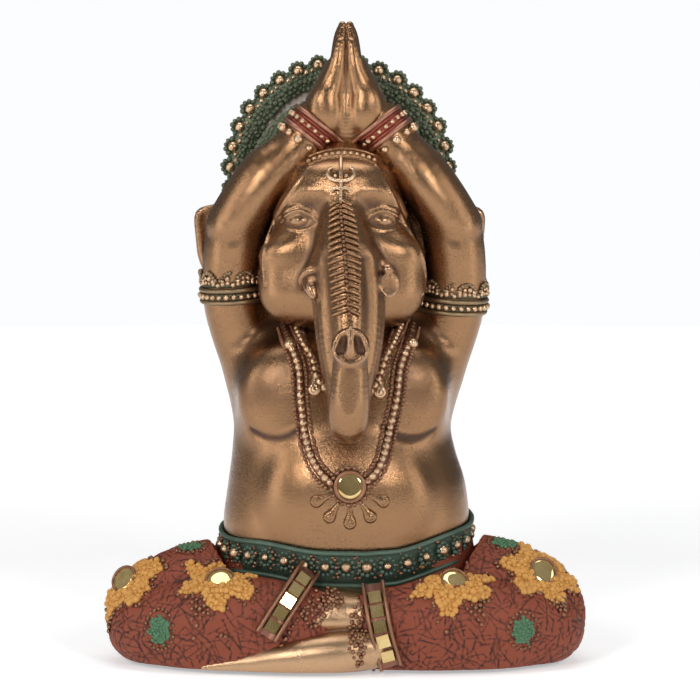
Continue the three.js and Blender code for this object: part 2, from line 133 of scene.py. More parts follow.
def limb(points, radii, flat=(1, 1, 1), count=None):
    """A rounded limb through points with its radius at each; `flat` squeezes its section along an axis."""
    rows = np.column_stack([np.array(points, float) / flat, np.broadcast_to(radii, len(points))])
    rows = smooth_line(rows, count or 4 * len(points) - 3) if len(points) > 2 else rows
    squeeze = np.array(flat, float)
    reach = rows[:, 3].max() * squeeze

    def distance(x, y, z):
        x, y, z = x / squeeze[0], y / squeeze[1], z / squeeze[2]
        best = None
        for a, b in zip(rows[:-1], rows[1:]):
            step = b[:3] - a[:3]
            along = ((x - a[0]) * step[0] + (y - a[1]) * step[1] + (z
                - a[2]) * step[2]) / max(step @ step, 1e-9)
            along = np.clip(along, 0, 1)
            gap = np.sqrt((x - a[0] - along * step[0]) ** 2 + (y - a[1] - along * step[1]) ** 2 + (z
                - a[2] - along * step[2]) ** 2)
            gap -= a[3] + along * (b[3] - a[3])
            best = gap if best is None else np.minimum(best, gap)
        return best * squeeze.min()

    places = rows[:, :3] * squeeze
    return places.min(0) - reach, places.max(0) + reach, distance


def stack(stations, power=2.0):
    """A body of level oval sections [z, x, y, half width, half depth], rounder or squarer by `power`."""
    rows = np.array(sorted(stations), float)
    fine = smooth_line(rows, 12 * len(rows))
    low = np.array([(rows[:, 1] - rows[:, 3]).min(), (rows[:, 2] - rows[:, 4]).min(), rows[0, 0]])
    high = np.array([(rows[:, 1] + rows[:, 3]).max(), (rows[:, 2] + rows[:, 4]).max(), rows[-1, 0]])

    def distance(x, y, z):
        cx, cy, a, b = (np.interp(z, fine[:, 0], fine[:, i]) for i in (1, 2, 3, 4))
        u, v = np.abs(x - cx) / a, np.abs(y - cy) / b
        near = (u**power + v**power) ** (1 / power)
        far = np.sqrt((u / a) ** 2 + (v / b) ** 2)
        side = near * (near - 1) / np.maximum(far, 1e-6)
        return np.maximum(side, np.maximum(low[2] - z, z - high[2]))

    return low, high, distance


def mirrored(side, points):
    """Points given for the figure's left, on the side asked for."""
    return [(side * x, y, z) for x, y, z in points]


class Clay:
    """A block of space that rounded forms are added to and cut from, in millimetres."""

    def __init__(self, low, high, voxel):
        self.low, self.voxel = np.array(low, float), voxel
        shape = np.ceil((np.array(high, float) - self.low) / voxel).astype(int) + 1
        self.field = np.full(shape, FAR, np.float32)

    def _window(self, form, margin):
        low, high, distance = form
        a = np.floor((low - margin - self.low) / self.voxel).astype(int)
        b = np.ceil((high + margin - self.low) / self.voxel).astype(int) + 1
        a, b = np.clip(a, 0, self.field.shape), np.clip(b, 0, self.field.shape)
        part = tuple(slice(i, j) for i, j in zip(a, b))
        axes = [(self.low[k] + self.voxel * np.arange(a[k], b[k])).astype(np.float32) for k in range(3)]
        x, y, z = axes[0][:, None, None], axes[1][None, :, None], axes[2][None, None, :]
        return part, distance(x, y, z).astype(np.float32) if all(b > a) else None

    def add(self, form, blend=0.6):
        part, d = self._window(form, blend + 3 * self.voxel)
        if d is not None:
            old = self.field[part]
            h = np.maximum(blend - np.abs(old - d), 0) / blend
            self.field[part] = np.minimum(old, d) - h * h * blend / 4
        return self

    def cut(self, form, blend=0.6):
        part, d = self._window(form, blend + 3 * self.voxel)
        if d is not None:
            old = self.field[part]
            h = np.maximum(blend - np.abs(old + d), 0) / blend
            self.field[part] = np.maximum(old, -d) + h * h * blend / 4
        return self

    def keep_beyond(self, axis, level, side=1):
        """Cuts off everything short of a level plane; `side` -1 keeps what is below it."""
        places = self.low[axis] + self.voxel * np.arange(self.field.shape[axis])
        wall = (side * (level - places)).astype(np.float32)
        self.field = np.maximum(self.field, wall.reshape([-1 if k == axis else 1 for k in range(3)]))
        return self

    def value(self, points, field=None):
        """The distance kept at any points, straight between the grid's own."""
        field = self.field if field is None else field
        place = np.clip((points - self.low) / self.voxel, 0, np.array(field.shape) - 1.001)
        cell = place.astype(int)
        part = place - cell
        total = 0
        for corner in np.ndindex(2, 2, 2):
            i, j, k = (cell + corner).T
            total = total + np.prod(np.where(corner, part, 1 - part), axis=1) * field[i, j, k]
        return total

    def normals(self, points):
        steps = np.eye(3) * self.voxel
        slope = np.column_stack([self.value(points + e) - self.value(points - e) for e in steps])
        return slope / np.maximum(np.linalg.norm(slope, axis=1, keepdims=True), 1e-6)

    def onto(self, points, proud=0.0, rounds=3):
        """Points moved to the nearest clay surface, standing `proud` of it."""
        points = np.array(points, float)
        for _ in range(rounds):
            points -= self.normals(points) * self.value(points)[:, None]
        return points + self.normals(points) * proud

    def front(self, x, z):
        """Where a level line from the front enters the clay."""
        i, k = round((x - self.low[0]) / self.voxel), round((z - self.low[2]) / self.voxel)
        column = self.field[i, :, k]
        j = int(np.argmax(column < 0))
        return self.low[1] + self.voxel * (j - 1 + column[j - 1] / (column[j - 1] - column[j]))

    def laid(self, points, sink=0.0):
        """Points [x, z] put on the clay's front."""
        return [(x, self.front(x, z) + sink, z) for x, z in points]

    def scatter(self, count, rng, keep=lambda p, n: p[:, 2] > -1e9):
        """Places on the surface, chosen at random, with their outward directions."""
        cells = np.argwhere(np.abs(self.field) < 0.6 * self.voxel)
        cells = cells[rng.permutation(len(cells))[: 3 * count]]
        points = self.onto(self.low + self.voxel * cells)
        normals = self.normals(points)
        chosen = keep(points, normals)
        return points[chosen][:count], normals[chosen][:count]

    def scratch(self, count, rng, lengths, radius, keep):
        """Short straight grooves in every direction."""
        points, normals = self.scatter(count, rng, keep)
        turns = rng.uniform(0, 2 * math.pi, len(points))
        first = unit_rows(np.cross(normals, (0.31, 0.2, 0.93)))
        second = np.cross(normals, first)
        along = first * np.cos(turns)[:, None] + second * np.sin(turns)[:, None]
        half = rng.uniform(*lengths, len(points))[:, None] / 2
        ends = [self.onto(points + along * half * t, radius * 0.25) for t in (-1, 0, 1)]
        for a, b, c in zip(*ends):
            self.cut(limb([a, b, c], radius, count=3), 0.2)
        return self

    def relief(self, points, reach):
        """How proud (+) or sunk (-) each point is, in millimetres, against clay blurred over `reach`."""
        field = np.clip(self.field, -reach, reach)
        size = max(1, round(reach / self.voxel))
        for axis in range(3):
            total = np.cumsum(np.pad(field, [(size + 1, size) if k == axis else (0, 0) for k in range(3)],
                mode="edge"), axis=axis, dtype=np.float64)
            upper = np.take(total, np.arange(2 * size + 1, total.shape[axis]), axis=axis)
            lower = np.take(total, np.arange(0, total.shape[axis] - 2 * size - 1), axis=axis)
            field = ((upper - lower) / (2 * size + 1)).astype(np.float32)
        return self.value(points, field)

    def mesh(self, name, reach=1.6):
        """The clay's surface as a smooth closed mesh at its place, with its relief as a point attribute."""
        grid = openvdb.FloatGrid(FAR)
        grid.copyFromArray(np.clip(np.pad(self.field, 2, constant_values=FAR), -FAR, FAR))
        points, quads = grid.convertToQuads(0.0)
        points = (points - 2) * self.voxel + self.low
        a, b, c, d = (points[quads[:, k]] for k in range(4))
        volume = np.einsum("ij,ij->i", a, np.cross(b, c)).sum() + np.einsum("ij,ij->i", a, np.cross(c,
            d)).sum()
        if volume < 0:
            quads = quads[:, ::-1]
        data = bpy.data.meshes.new(name)
        data.vertices.add(len(points))
        data.vertices.foreach_set("co", (points * MM).astype(np.float32).ravel())
        data.loops.add(quads.size)
        data.loops.foreach_set("vertex_index", quads.astype(np.int32).ravel())
        data.polygons.add(len(quads))
        data.polygons.foreach_set("loop_start", np.arange(0, quads.size, 4, dtype=np.int32))
        data.polygons.foreach_set("use_smooth", np.ones(len(quads), bool))
        data.update(calc_edges=True)
        data.attributes.new("relief", "FLOAT", "POINT").data.foreach_set("value", self.relief(points,
            reach).astype(np.float32))
        piece = bpy.data.objects.new(name, data)
        bpy.context.scene.collection.objects.link(piece)
        SKINS[name] = BVHTree.FromPolygons(points.tolist(), quads.tolist())
        return piece


SKINS = {}  # rays can be cast at every sculpted piece, in millimetres
CLEAR = 150  # how far off a ray starts, well outside the figure


def cast(skins, start, along):
    """The nearest (place, normal) that a ray meets on the named skins, or None."""
    found = [SKINS[name].ray_cast(Vector(start), Vector(along).normalized(), 400) for name in skins]
    found = [hit for hit in found if hit[0] is not None]
    if not found:
        return None
    place, normal, *_ = min(found, key=lambda hit: hit[3])
    return np.array(place), np.array(normal)


def lay(skins, points, proud=0.0, along=(0, 1, 0)):
    """Points dropped along a direction onto skins, standing proud of them."""
    along = unit(along)
    hits = [cast(skins, np.array(p, float) - along * CLEAR, along) for p in points]
    return np.array([place + normal * proud for place, normal in filter(None, hits)])


def drop(skins, places, proud=0.0):
    """Places [x, z] dropped from in front onto skins."""
    return lay(skins, [(x, 0, z) for x, z in places], proud)


def hoop(skins, centre, axis, proud=0.0, count=90, arc=(0, 360), lift=lambda turn: 0.0, reach=60):
    """Points all round an axis, met from outside; `lift` slides each along it by its turn from the front."""
    axis = unit(axis)
    first = unit(np.array((0.0, -1.0, 0.0)) - axis * -axis[1])
    second = np.cross(axis, first)
    points = []
    for turn in np.linspace(*arc, count, endpoint=arc != (0, 360)):
        out = first * math.cos(math.radians(turn)) + second * math.sin(math.radians(turn))
        hit = cast(skins, np.array(centre) + axis * lift(turn) + out * reach, -out)
        if hit:
            points.append(hit[0] + out * proud)
    return np.array(points)


def even(points, spacing, closed=False):
    """A polyline walked again in equal steps of about `spacing`."""
    points = np.array(points, float)
    if closed:
        points = np.vstack([points, points[:1]])
    walked = np.concatenate([[0], np.cumsum(np.linalg.norm(np.diff(points, axis=0), axis=1))])
    count = max(2, round(walked[-1] / spacing) + (0 if closed else 1))
    at = np.linspace(0, walked[-1], count, endpoint=not closed)
    return np.column_stack([np.interp(at, walked, points[:, k]) for k in range(3)])


# ---- Materials ----

class S:
    """A shader socket that can be worked with as a number."""

    def __init__(self, paint, socket):
        self.paint, self.socket = paint, socket

    def _math(self, operation, *values):
        return self.paint.node("ShaderNodeMath", values, operation=operation)

    def __add__(self, other):
        return self._math("ADD", self, other)

    def __sub__(self, other):
        return self._math("SUBTRACT", self, other)

    def __rsub__(self, other):
        return self._math("SUBTRACT", other, self)

    def __mul__(self, other):
        return self._math("MULTIPLY", self, other)

    __radd__, __rmul__ = __add__, __mul__

    def clamp(self):
        return self.paint.node("ShaderNodeClamp", (self,))

    def between(self, low, high):
        """0 at `low`, 1 at `high`, straight between them."""
        return self.paint.node("ShaderNodeMapRange", (self, low, high, 0.0, 1.0))


class Nodes:
    """A node tree, and one way of adding any node to it."""

    def node(self, kind, values=(), output=0, **settings):
        made = self.tree.nodes.new(kind)
        for key, value in settings.items():
            setattr(made, key, value)
        for key, value in (values.items() if isinstance(values, dict) else enumerate(values)):
            self.link(made.inputs[key], value)
        return S(self, made.outputs[output])

    def link(self, socket, value):
        if isinstance(value, S):
            self.tree.links.new(value.socket, socket)
        elif value is not None:
            if socket.type == "RGBA" and len(value) == 3:
                value = (*value, 1)
            socket.default_value = value


class Paint(Nodes):
    """A material and the nodes that make it."""

    def __init__(self, name):
        self.material = bpy.data.materials.new(name)
        self.material.use_nodes = True
        self.tree = self.material.node_tree
        self.shader = self.tree.nodes["Principled BSDF"]
        self.place = self.node("ShaderNodeTexCoord", output="Object")

    def noise(self, scale, detail=3.0, roughness=0.55):
        return self.node("ShaderNodeTexNoise", {"Vector": self.place, "Scale": scale, "Detail": detail,
            "Roughness": roughness})

    def attribute(self, name):
        return self.node("ShaderNodeAttribute", output="Fac", attribute_name=name)

    def mix(self, amount, first, second):
        made = self.tree.nodes.new("ShaderNodeMix")
        made.data_type = "RGBA"
        for socket, value in ((made.inputs[0], amount), (made.inputs[6], first), (made.inputs[7], second)):
            self.link(socket, value)
        return S(self, made.outputs[2])

    def bump(self, height, distance, strength=1.0):
        return self.node("ShaderNodeBump", {"Height": height, "Distance": distance, "Strength": strength},
            output="Normal")

    def finish(self, **values):
        for key, value in values.items():
            self.link(self.shader.inputs[key.replace("_", " ")], value)
        return self.material


# Each paint below comes with the slot of the record that it fills: (slot, material).

def metal_paint(slot, name, bright, dark, roughness):
    """Rubbed metallic paint: bright where it stands proud, dark in the hollows as a wash and as painted
    shade, fine casting grain.
    """
    p = Paint(name)
    relief = p.attribute("relief")
    cloud = p.noise(38.0, 4.0, 0.6)
    speck = p.noise(1500.0, 3.0, 0.75)
    # Darker where the relief is sunk: painted shade in the hollows, with a dark wash made uneven by noise.
    wash_and_hollow_shade = (relief * -3.4 + (cloud - 0.5) * 0.9 + (speck - 0.5) * 0.8 + 0.05).clamp()
    rubbed = relief.between(0.08, 0.5)
    colour = p.mix(wash_and_hollow_shade, bright, dark)
    colour = p.mix(rubbed * 0.5, colour, tuple(min(1.0, v * 1.2 + 0.08) for v in bright))
    pores = speck.between(0.6, 0.72) * cloud.between(0.38, 0.62)
    colour = p.mix(pores * 0.6, colour, dark)
    fleck = p.noise(2300.0, 2.0, 0.7)
    colour = p.mix(fleck.between(0.52, 0.7) * 0.45, colour, tuple(v * 0.55 for v in bright))
    height = speck * 0.5 + fleck * 0.3 + p.noise(300.0, 3.0) * 0.4 - pores * 0.4
    return slot, p.finish(Base_Color=colour, Metallic=0.97 - wash_and_hollow_shade * 0.3, Coat_Weight=0.12,
        Coat_Roughness=0.35, Roughness=roughness + (cloud - 0.5) * 0.16 + wash_and_hollow_shade * 0.16 + pores * 0.2
        - rubbed * 0.05, Normal=p.bump(height, 0.00024, 0.7))


def matt_paint(slot, name, face, gap, dust_and_highlight_tint, roughness, metallic=0.0, streak=0.35):
    """Hand-brushed matt paint: darker in the gaps as painted shade, lighter on the high spots as dust and
    painted highlight, uneven from stroke to stroke.
    """
    p = Paint(name)
    relief = p.attribute("relief")
    cloud = p.noise(55.0, 4.0, 0.6)
    fine = p.noise(700.0, 4.0, 0.65)
    # The gap colour where the relief is sunk is painted shade, made uneven by noise.
    wash_and_hollow_shade = (relief * -8.0 + (cloud - 0.55) * 0.8).clamp()
    # Lighter on the high spots from the relief and at random: real dust and a painted highlight.
    dust_and_highlight_mask = (relief.between(0.02, 0.3) * 0.5 + (fine - 0.55) * 1.6 * streak).clamp()
    colour = p.mix(cloud.between(0.3, 0.7) * 0.35, face, tuple(v * 0.72 for v in face))
    colour = p.mix(dust_and_highlight_mask, colour, dust_and_highlight_tint)
    colour = p.mix(wash_and_hollow_shade, colour, gap)
    return slot, p.finish(Base_Color=colour, Metallic=metallic, Specular_IOR_Level=0.3,
        Roughness=roughness + (fine - 0.5) * 0.2 - dust_and_highlight_mask * 0.1,
        Normal=p.bump(fine * 0.7 + p.noise(260.0) * 0.3, 0.00018, 0.7))


def mirror_paint():
    """Gold-tinted mirror glass, faintly uneven, a little darker in places."""
    p = Paint("amber_mirror")
    cloud = p.noise(160.0, 2.0)
    colour = p.mix(cloud.between(0.35, 0.7), (0.72, 0.54, 0.25), (0.52, 0.37, 0.14))
    return "mirror", p.finish(Base_Color=colour, Metallic=0.75, Roughness=(cloud - 0.5) * 0.05 + 0.06,
        Normal=p.bump(p.noise(220.0, 1.0), 0.00008, 0.25))


def felt_paint():
    p = Paint("dark_felt")
    fibre = p.noise(1500.0, 5.0, 0.75)
    tuft = p.noise(180.0, 3.0)
    colour = p.mix(fibre, (0.018, 0.017, 0.016), (0.07, 0.066, 0.062))
    return "felt", p.finish(Base_Color=p.mix(tuft * 0.4, colour, (0.03, 0.028, 0.027)),
        Roughness=0.9 + tuft * 0.08, Normal=p.bump(fibre * 0.7 + tuft * 0.3, 0.0004))


def in_slot(slot, finish):
    """A paint used on a piece that belongs to another slot."""
    return slot, finish[1]


GOLD_SLOT, COPPER_SLOT = "gold_paint", "copper_paint"


# In the metal paints below, the second colour is the dark of the pores and of the wash and painted shade in
# the hollows.
FOOT_GOLD = metal_paint(GOLD_SLOT, "rubbed_gold", (0.50, 0.315, 0.18), (0.13, 0.06, 0.03), 0.3)
GOLD = metal_paint(GOLD_SLOT, "antique_gold", (0.30, 0.163, 0.080), (0.06, 0.026, 0.014), 0.24)
BEAD_GOLD = metal_paint(GOLD_SLOT, "bead_gold", (0.62, 0.42, 0.26), (0.13, 0.065, 0.035), 0.28)
DARK_OLIVE = metal_paint(GOLD_SLOT, "dark_olive", (0.10, 0.085, 0.05), (0.03, 0.025, 0.015), 0.45)
OLIVE = metal_paint(GOLD_SLOT, "olive_gold", (0.30, 0.21, 0.12), (0.05, 0.036, 0.02), 0.4)
SHELL_GOLD = matt_paint(GOLD_SLOT, "pale_plate", (0.52, 0.44, 0.38), (0.12, 0.09, 0.07),
    (0.42, 0.36, 0.30), 0.45, 0.2)
COPPER = metal_paint(COPPER_SLOT, "copper_red", (0.25, 0.06, 0.038), (0.05, 0.012, 0.01), 0.36)
BRIGHT_ROSE = metal_paint(COPPER_SLOT, "bright_rose", (0.36, 0.17, 0.11), (0.10, 0.028, 0.02), 0.32)
BAND = metal_paint(COPPER_SLOT, "band_brown", (0.26, 0.115, 0.08), (0.06, 0.024, 0.018), 0.42)
ROSE = metal_paint(COPPER_SLOT, "rose_copper", (0.29, 0.145, 0.082), (0.075, 0.03, 0.018), 0.36)
# In each matt paint, also the pale plate above, the second colour is painted shade for the gaps and the third
# is dust and painted highlight for the high spots.
RED = matt_paint("red_cloth_paint", "red_cloth", (0.228, 0.050, 0.023), (0.035, 0.009, 0.005),
    (0.32, 0.104, 0.054), 0.58)
YELLOW = matt_paint("yellow_paint", "ochre_pebbles", (0.60, 0.30, 0.075), (0.24, 0.09, 0.025),
    (0.72, 0.43, 0.15), 0.55)
GREEN = matt_paint("green_paint", "leaf_green", (0.085, 0.19, 0.10), (0.03, 0.055, 0.03),
    (0.26, 0.30, 0.14), 0.55)
HALO_GREEN = matt_paint("green_beadwork", "sea_green_beads", (0.11, 0.13, 0.08), (0.06, 0.04, 0.022),
    (0.34, 0.30, 0.19), 0.42, 0.35)
BELT_DARK = matt_paint("belt_enamel", "belt_dark", (0.034, 0.056, 0.038), (0.02, 0.02, 0.012),
    (0.17, 0.12, 0.07), 0.45, 0.3)
BELT_RIM = matt_paint("belt_enamel", "belt_rim", (0.08, 0.13, 0.095), (0.035, 0.038, 0.025),
    (0.34, 0.24, 0.14), 0.42, 0.35, 0.8)
MIRROR = mirror_paint()
FELT = felt_paint()
ROSE_ON_GOLD, CORD_BROWN = in_slot(GOLD_SLOT, ROSE), in_slot(GOLD_SLOT, BAND)
GOLD_ON_COPPER = in_slot(COPPER_SLOT, BEAD_GOLD)
ROSE_ON_YELLOW, ROSE_ON_BELT = in_slot("yellow_paint", ROSE), in_slot("belt_enamel", ROSE)


# ---- Geometry Nodes: beads, wires and pebbles, with named inputs ----

BEAD_DETAIL = 2  # how often a bead's sphere is divided
WIRE_SIDES = 8

class Growth(Nodes):
    """A Geometry Nodes tree with named inputs, which ends in one real mesh with its material."""

    def __init__(self, name, **inputs):
        self.tree = bpy.data.node_groups.new(name, "GeometryNodeTree")
        sockets = {float: "NodeSocketFloat", int: "NodeSocketInt", type(None): "NodeSocketMaterial"}
        panel = self.tree.interface
        panel.new_socket("Geometry", in_out="INPUT", socket_type="NodeSocketGeometry")
        for key, value in inputs.items():
            made = panel.new_socket(key, in_out="INPUT", socket_type=sockets[type(value)])
            if value is not None:
                made.default_value = value
        panel.new_socket("Geometry", in_out="OUTPUT", socket_type="NodeSocketGeometry")
        self.given = self.tree.nodes.new("NodeGroupInput")

    def input(self, key):
        return S(self, self.given.outputs[key])

    def curves(self):
        return self.node("GeometryNodeMeshToCurve", {"Mesh": self.input("Geometry")})

    def size(self):
        """The size that each point was given."""
        return self.node("GeometryNodeInputNamedAttribute", {"Name": "size"}, data_type="FLOAT")

    def sown(self, points, radius):
        """A bead at each point, each a little larger or smaller than the next."""
        chance = self.node("FunctionNodeRandomValue", {2: -1.0, 3: 1.0, "Seed": self.input("Seed")},
            output=1, data_type="FLOAT")
        bead = self.node("GeometryNodeMeshIcoSphere", {"Radius": 1.0, "Subdivisions": BEAD_DETAIL})
        scale = radius * (chance * self.input("Variation") + 1.0)
        return self.node("GeometryNodeInstanceOnPoints", {"Points": points, "Instance": bead, "Scale": scale})

    def end(self, geometry):
        real = self.node("GeometryNodeRealizeInstances", (geometry,))
        smooth = self.node("GeometryNodeSetShadeSmooth", {"Geometry": real, "Shade Smooth": True})
        painted = self.node("GeometryNodeSetMaterial", {"Geometry": smooth,
            "Material": self.input("Material")})
        self.link(self.tree.nodes.new("NodeGroupOutput").inputs[0], painted)
        return self.tree


def bead_string():
    """Beads at equal steps along lines."""
    t = Growth("bead_string", Spacing=0.002, Radius=0.001, Variation=0.1, Seed=1, Material=None)
    places = t.node("GeometryNodeCurveToPoints", {"Curve": t.curves(), "Length": t.input("Spacing")},
        mode="LENGTH")
    return t.end(t.sown(places, t.input("Radius") * t.size()))


def bead_spots():
    """One bead at each point, as large as the point says."""
    t = Growth("bead_spots", Radius=0.001, Variation=0.1, Seed=1, Material=None)
    return t.end(t.sown(t.input("Geometry"), t.input("Radius") * t.size()))


def wire():
    """A round wire along each line, thick or thin as its points say."""
    t = Growth("wire", Radius=0.0005, Material=None)
    sized = t.node("GeometryNodeSetCurveRadius", {"Curve": t.curves(), "Radius": t.size()})
    ring = t.node("GeometryNodeCurvePrimitiveCircle", {"Resolution": WIRE_SIDES, "Radius": t.input("Radius")})
    return t.end(t.node("GeometryNodeCurveToMesh",
        {"Curve": sized, "Profile Curve": ring, "Fill Caps": True}))


def pebbles():
    """A patch of skin covered in small beads at least a gap apart."""
    t = Growth("pebbles", Gap=0.0015, Density=900000.0, Radius=0.001, Variation=0.3, Seed=1, Material=None)
    places = t.node("GeometryNodeDistributePointsOnFaces", {"Mesh": t.input("Geometry"),
        "Distance Min": t.input("Gap"), "Density Max": t.input("Density"), "Seed": t.input("Seed")},
        distribute_method="POISSON")
    both = t.tree.nodes.new("GeometryNodeJoinGeometry")
    t.link(both.inputs[0], t.sown(places, t.input("Radius")))
    t.link(both.inputs[0], t.input("Geometry"))
    return t.end(S(t, both.outputs[0]))


BEAD_STRING, BEAD_SPOTS, WIRE, PEBBLES = bead_string(), bead_spots(), wire(), pebbles()


def bare(name, points, edges=(), faces=(), sizes=None):
    data = bpy.data.meshes.new(name)
    data.from_pydata([tuple(v) for v in np.array(points, float) * MM], list(edges), [tuple(f) for f in faces])
    sizes = np.ones(len(points)) if sizes is None else np.array(sizes, float)
    data.attributes.new("size", "FLOAT", "POINT").data.foreach_set("value", sizes.astype(np.float32))
    piece = bpy.data.objects.new(name, data)
    bpy.context.scene.collection.objects.link(piece)
    return piece


def grown(piece, tree, finish, *nodes, **settings):
    """Runs a tree on a piece once and keeps what comes out as its plain mesh."""
    modifier = piece.modifiers.new("growth", "NODES")
    modifier.node_group = tree
    settings["Material"] = finish[1]
    for item in tree.interface.items_tree:
        if item.in_out == "INPUT" and item.name in settings:
            modifier[item.identifier] = settings[item.name]
    evaluated = piece.evaluated_get(bpy.context.evaluated_depsgraph_get())
    data = bpy.data.meshes.new_from_object(evaluated)
    piece.modifiers.clear()
    old, piece.data = piece.data, data
    bpy.data.meshes.remove(old)
    data.name = piece.name
    return place_piece(piece, finish, *nodes)


def lines_mesh(name, lines, closed=False, sizes=None):
    """Several polylines as one mesh of edges."""
    points, edges, scale = [], [], []
    for number, line in enumerate(lines):
        first, count = len(points), len(line)
        points += list(line)
        edges += [(first + i, first + i + 1) for i in range(count - 1)]
        edges += [(first + count - 1, first)] if closed else []
        scale += list(sizes[number]) if sizes else [1.0] * count
    return bare(name, points, edges, sizes=scale)


def beads(name, lines, radius, spacing, finish, *nodes, closed=False, variation=0.08, seed=1):
    return grown(lines_mesh(name, lines, closed), BEAD_STRING, finish, *nodes, Spacing=spacing * MM,
        Radius=radius * MM, Variation=variation, Seed=seed)


def spots(name, points, radii, finish, *nodes, variation=0.06, seed=1):
    return grown(bare(name, points, sizes=np.broadcast_to(radii, len(points))), BEAD_SPOTS, finish,
        *nodes, Radius=MM, Variation=variation, Seed=seed)


def wires(name, lines, radius, finish, *nodes, closed=False, sizes=None):
    return grown(lines_mesh(name, lines, closed, sizes), WIRE, finish, *nodes, Radius=radius * MM)


def sheet(name, rows, closed=True, looped=False):
    """A skin through rows of points; `closed` joins each row's ends, `looped` the first row to the last."""
    rows = [np.array(row, float) for row in rows]
    count = min(len(row) for row in rows)
    points = np.vstack([row[:count] for row in rows])
    across = count if closed else count - 1
    along = len(rows) if looped else len(rows) - 1
    faces = [(r * count + i, r * count + (i + 1) % count, (r + 1) % len(rows) * count + (i + 1) % count,
        (r + 1) % len(rows) * count + i) for r in range(along) for i in range(across)]
    piece = bare(name, points, faces=faces)
    for face in piece.data.polygons:
        face.use_smooth = True
    return piece


def outward(piece, middle):
    """Turns a sheet's faces so that they look away from a point, in millimetres."""
    total = sum((Vector(f.center) - Vector(middle) * MM).dot(f.normal) * f.area for f in piece.data.polygons)
    if total < 0:
        piece.data.flip_normals()
    return piece


def turned(name, profile, centre, count=96):
    """A solid of revolution about a line along Y, from [radius, y] points walked round its section."""
    turns = whole_turn(count)
    rows = [np.column_stack([centre[0] + radius * np.cos(turns), np.full(count, centre[1] + y),
        centre[2] + radius * np.sin(turns)]) for radius, y in profile]
    return sheet(name, rows, looped=profile[0][0] > 0.01 and profile[-1][0] > 0.01)


# ---- Pieces ----

def painted(piece, finish):
    slot, material = finish
    piece.data.materials.clear()
    piece.data.materials.append(material)
    return slot


def place_piece(piece, finish, *nodes):
    """Gives a finished piece its material and its body, and lets it stand for CAD nodes."""
    slot = painted(piece, finish)
    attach(piece, "root")
    if nodes:
        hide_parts(*nodes)
    return piece


# Body

def body_clay():
    """Torso and both arms as one skin."""
    b, s, w = BELT_Z, SHOULDER_Z, WRIST_Z
    clay = Clay((-60, -44, b - 16), (60, 40, w + 11), 0.7)
    clay.add(stack([[b - 16, -0.5, -1, 46, 33], [b, -0.3, -2, 46.6, 35], [b + 9, 0.1, -2.4, 47.2, 35.6],
        [b + 22, 0.2, -2.5, 45.6, 35], [b + 33, -0.8, -2, 43.2, 33.6], [b + 43, -1.5, -1.5, 41.8, 31.8],
        [b + 52, -1.4, -0.5, 42.3, 30], [b + 62, -1, 0.5, 43, 28], [b + 72, -0.6, 1, 41, 25],
        [b + 80, -0.5, 2, 33, 20], [b + 85, -0.5, 2, 22, 15]], 2.2))
    for side, elbow_x, wrist_x in ((-1, 43.2, 13.5), (1, 41.8, 14.6)):
        clay.add(limb(mirrored(side, [(elbow_x - 12, 3, s - 34), (elbow_x - 8.4, 2, s - 22),
            (elbow_x - 4.8, 1, s - 10), (elbow_x - 0.6, -0.5, s + 4), (elbow_x + 0.4, -2, s + 16),
            (elbow_x - 0.2, -4, s + 27), (elbow_x - 1.7, -5.0, s + 35)]),
            [9, 11, 12, 11.8, 11.5, 11.4, 11.4]), 7)
        # The forearm lies over the upper arm at the crook and runs in to the wrist.
        clay.add(limb(mirrored(side, [(elbow_x - 1.2, -6.5, s + 36), (elbow_x - 6.5, -8.4, s + 45),
            (elbow_x - 13, -9.2, s + 54.5), (wrist_x + 7, -8.8, w - 8.5), (wrist_x, -8.6, w + 0.5),
            (wrist_x - 4.5, -8.4, w + 6.5)]), [11.2, 10.9, 10.6, 9.9, 9.5, 9]), 1.2)
        # A long flat plane down the forearm's front.
        clay.add(limb(mirrored(side, [(elbow_x - 3.5, -12.5, s + 38), (elbow_x - 12, -13.5, s + 50),
            (wrist_x + 8, -12.5, w - 12)]), [5.5, 6.5, 5.5], (1, 1, 1)), 3)
        clay.cut(limb(mirrored(side, [(elbow_x - 14.5, -16.6, s + 34.5), (elbow_x - 8, -18.2, s + 29.6),
            (elbow_x + 0.5, -16.6, s + 28.2)]), [0.6, 1.3, 0.4]), 1.8)
        clay.cut(limb(mirrored(side, [(elbow_x - 8.8, -16, s + 6), (elbow_x - 9.3, -19.5, s - 6),
            (elbow_x - 10.5, -23.5, s - 14), (elbow_x - 11, -28, s - 20)]), [1.6, 2.2, 1.4, 0.3]), 5)
        # Breast, and the crease under it.
        clay.add(ball((side * 20 - 1, -20.6, b + 58), (18, 8.8, 16.5)), 12)
        clay.add(ball((side * 20, 22, s - 18), (13, 8, 15)), 8)
        clay.add(ball((side * 24, 5, s - 1), (15, 10, 12)), 6)
    clay.add(ball((0.5, -28.4, b + 20), (27, 10.5, 19)), 10)
    for side in (-1, 1):
        crease = clay.laid([(side * 35 - 1, b + 43.6), (side * 29 - 1, b + 41), (side * 22 - 1, b + 41.6),
            (side * 15 - 1, b + 45.5)], 0.1)
        clay.cut(limb(crease + np.array((0, -0.5, 0)), [0.2, 0.5, 0.5, 0.2]), 2.6)
    clay.cut(limb([(0, 36, b + 6), (0, 34, b + 30), (0, 31, b + 55)], [1, 1.6, 1.2]), 6)
    return clay


place_piece(body_clay().mesh("torso_and_arms", 2.4), GOLD, "torso", "right_arm", "left_arm")

FACE_X = -1.85  # the middle of the upper face, which leans a little to the right
EYE_OUT, EYE_UP = 15.25, 43  # each eye, from the middle of the face and from the chin


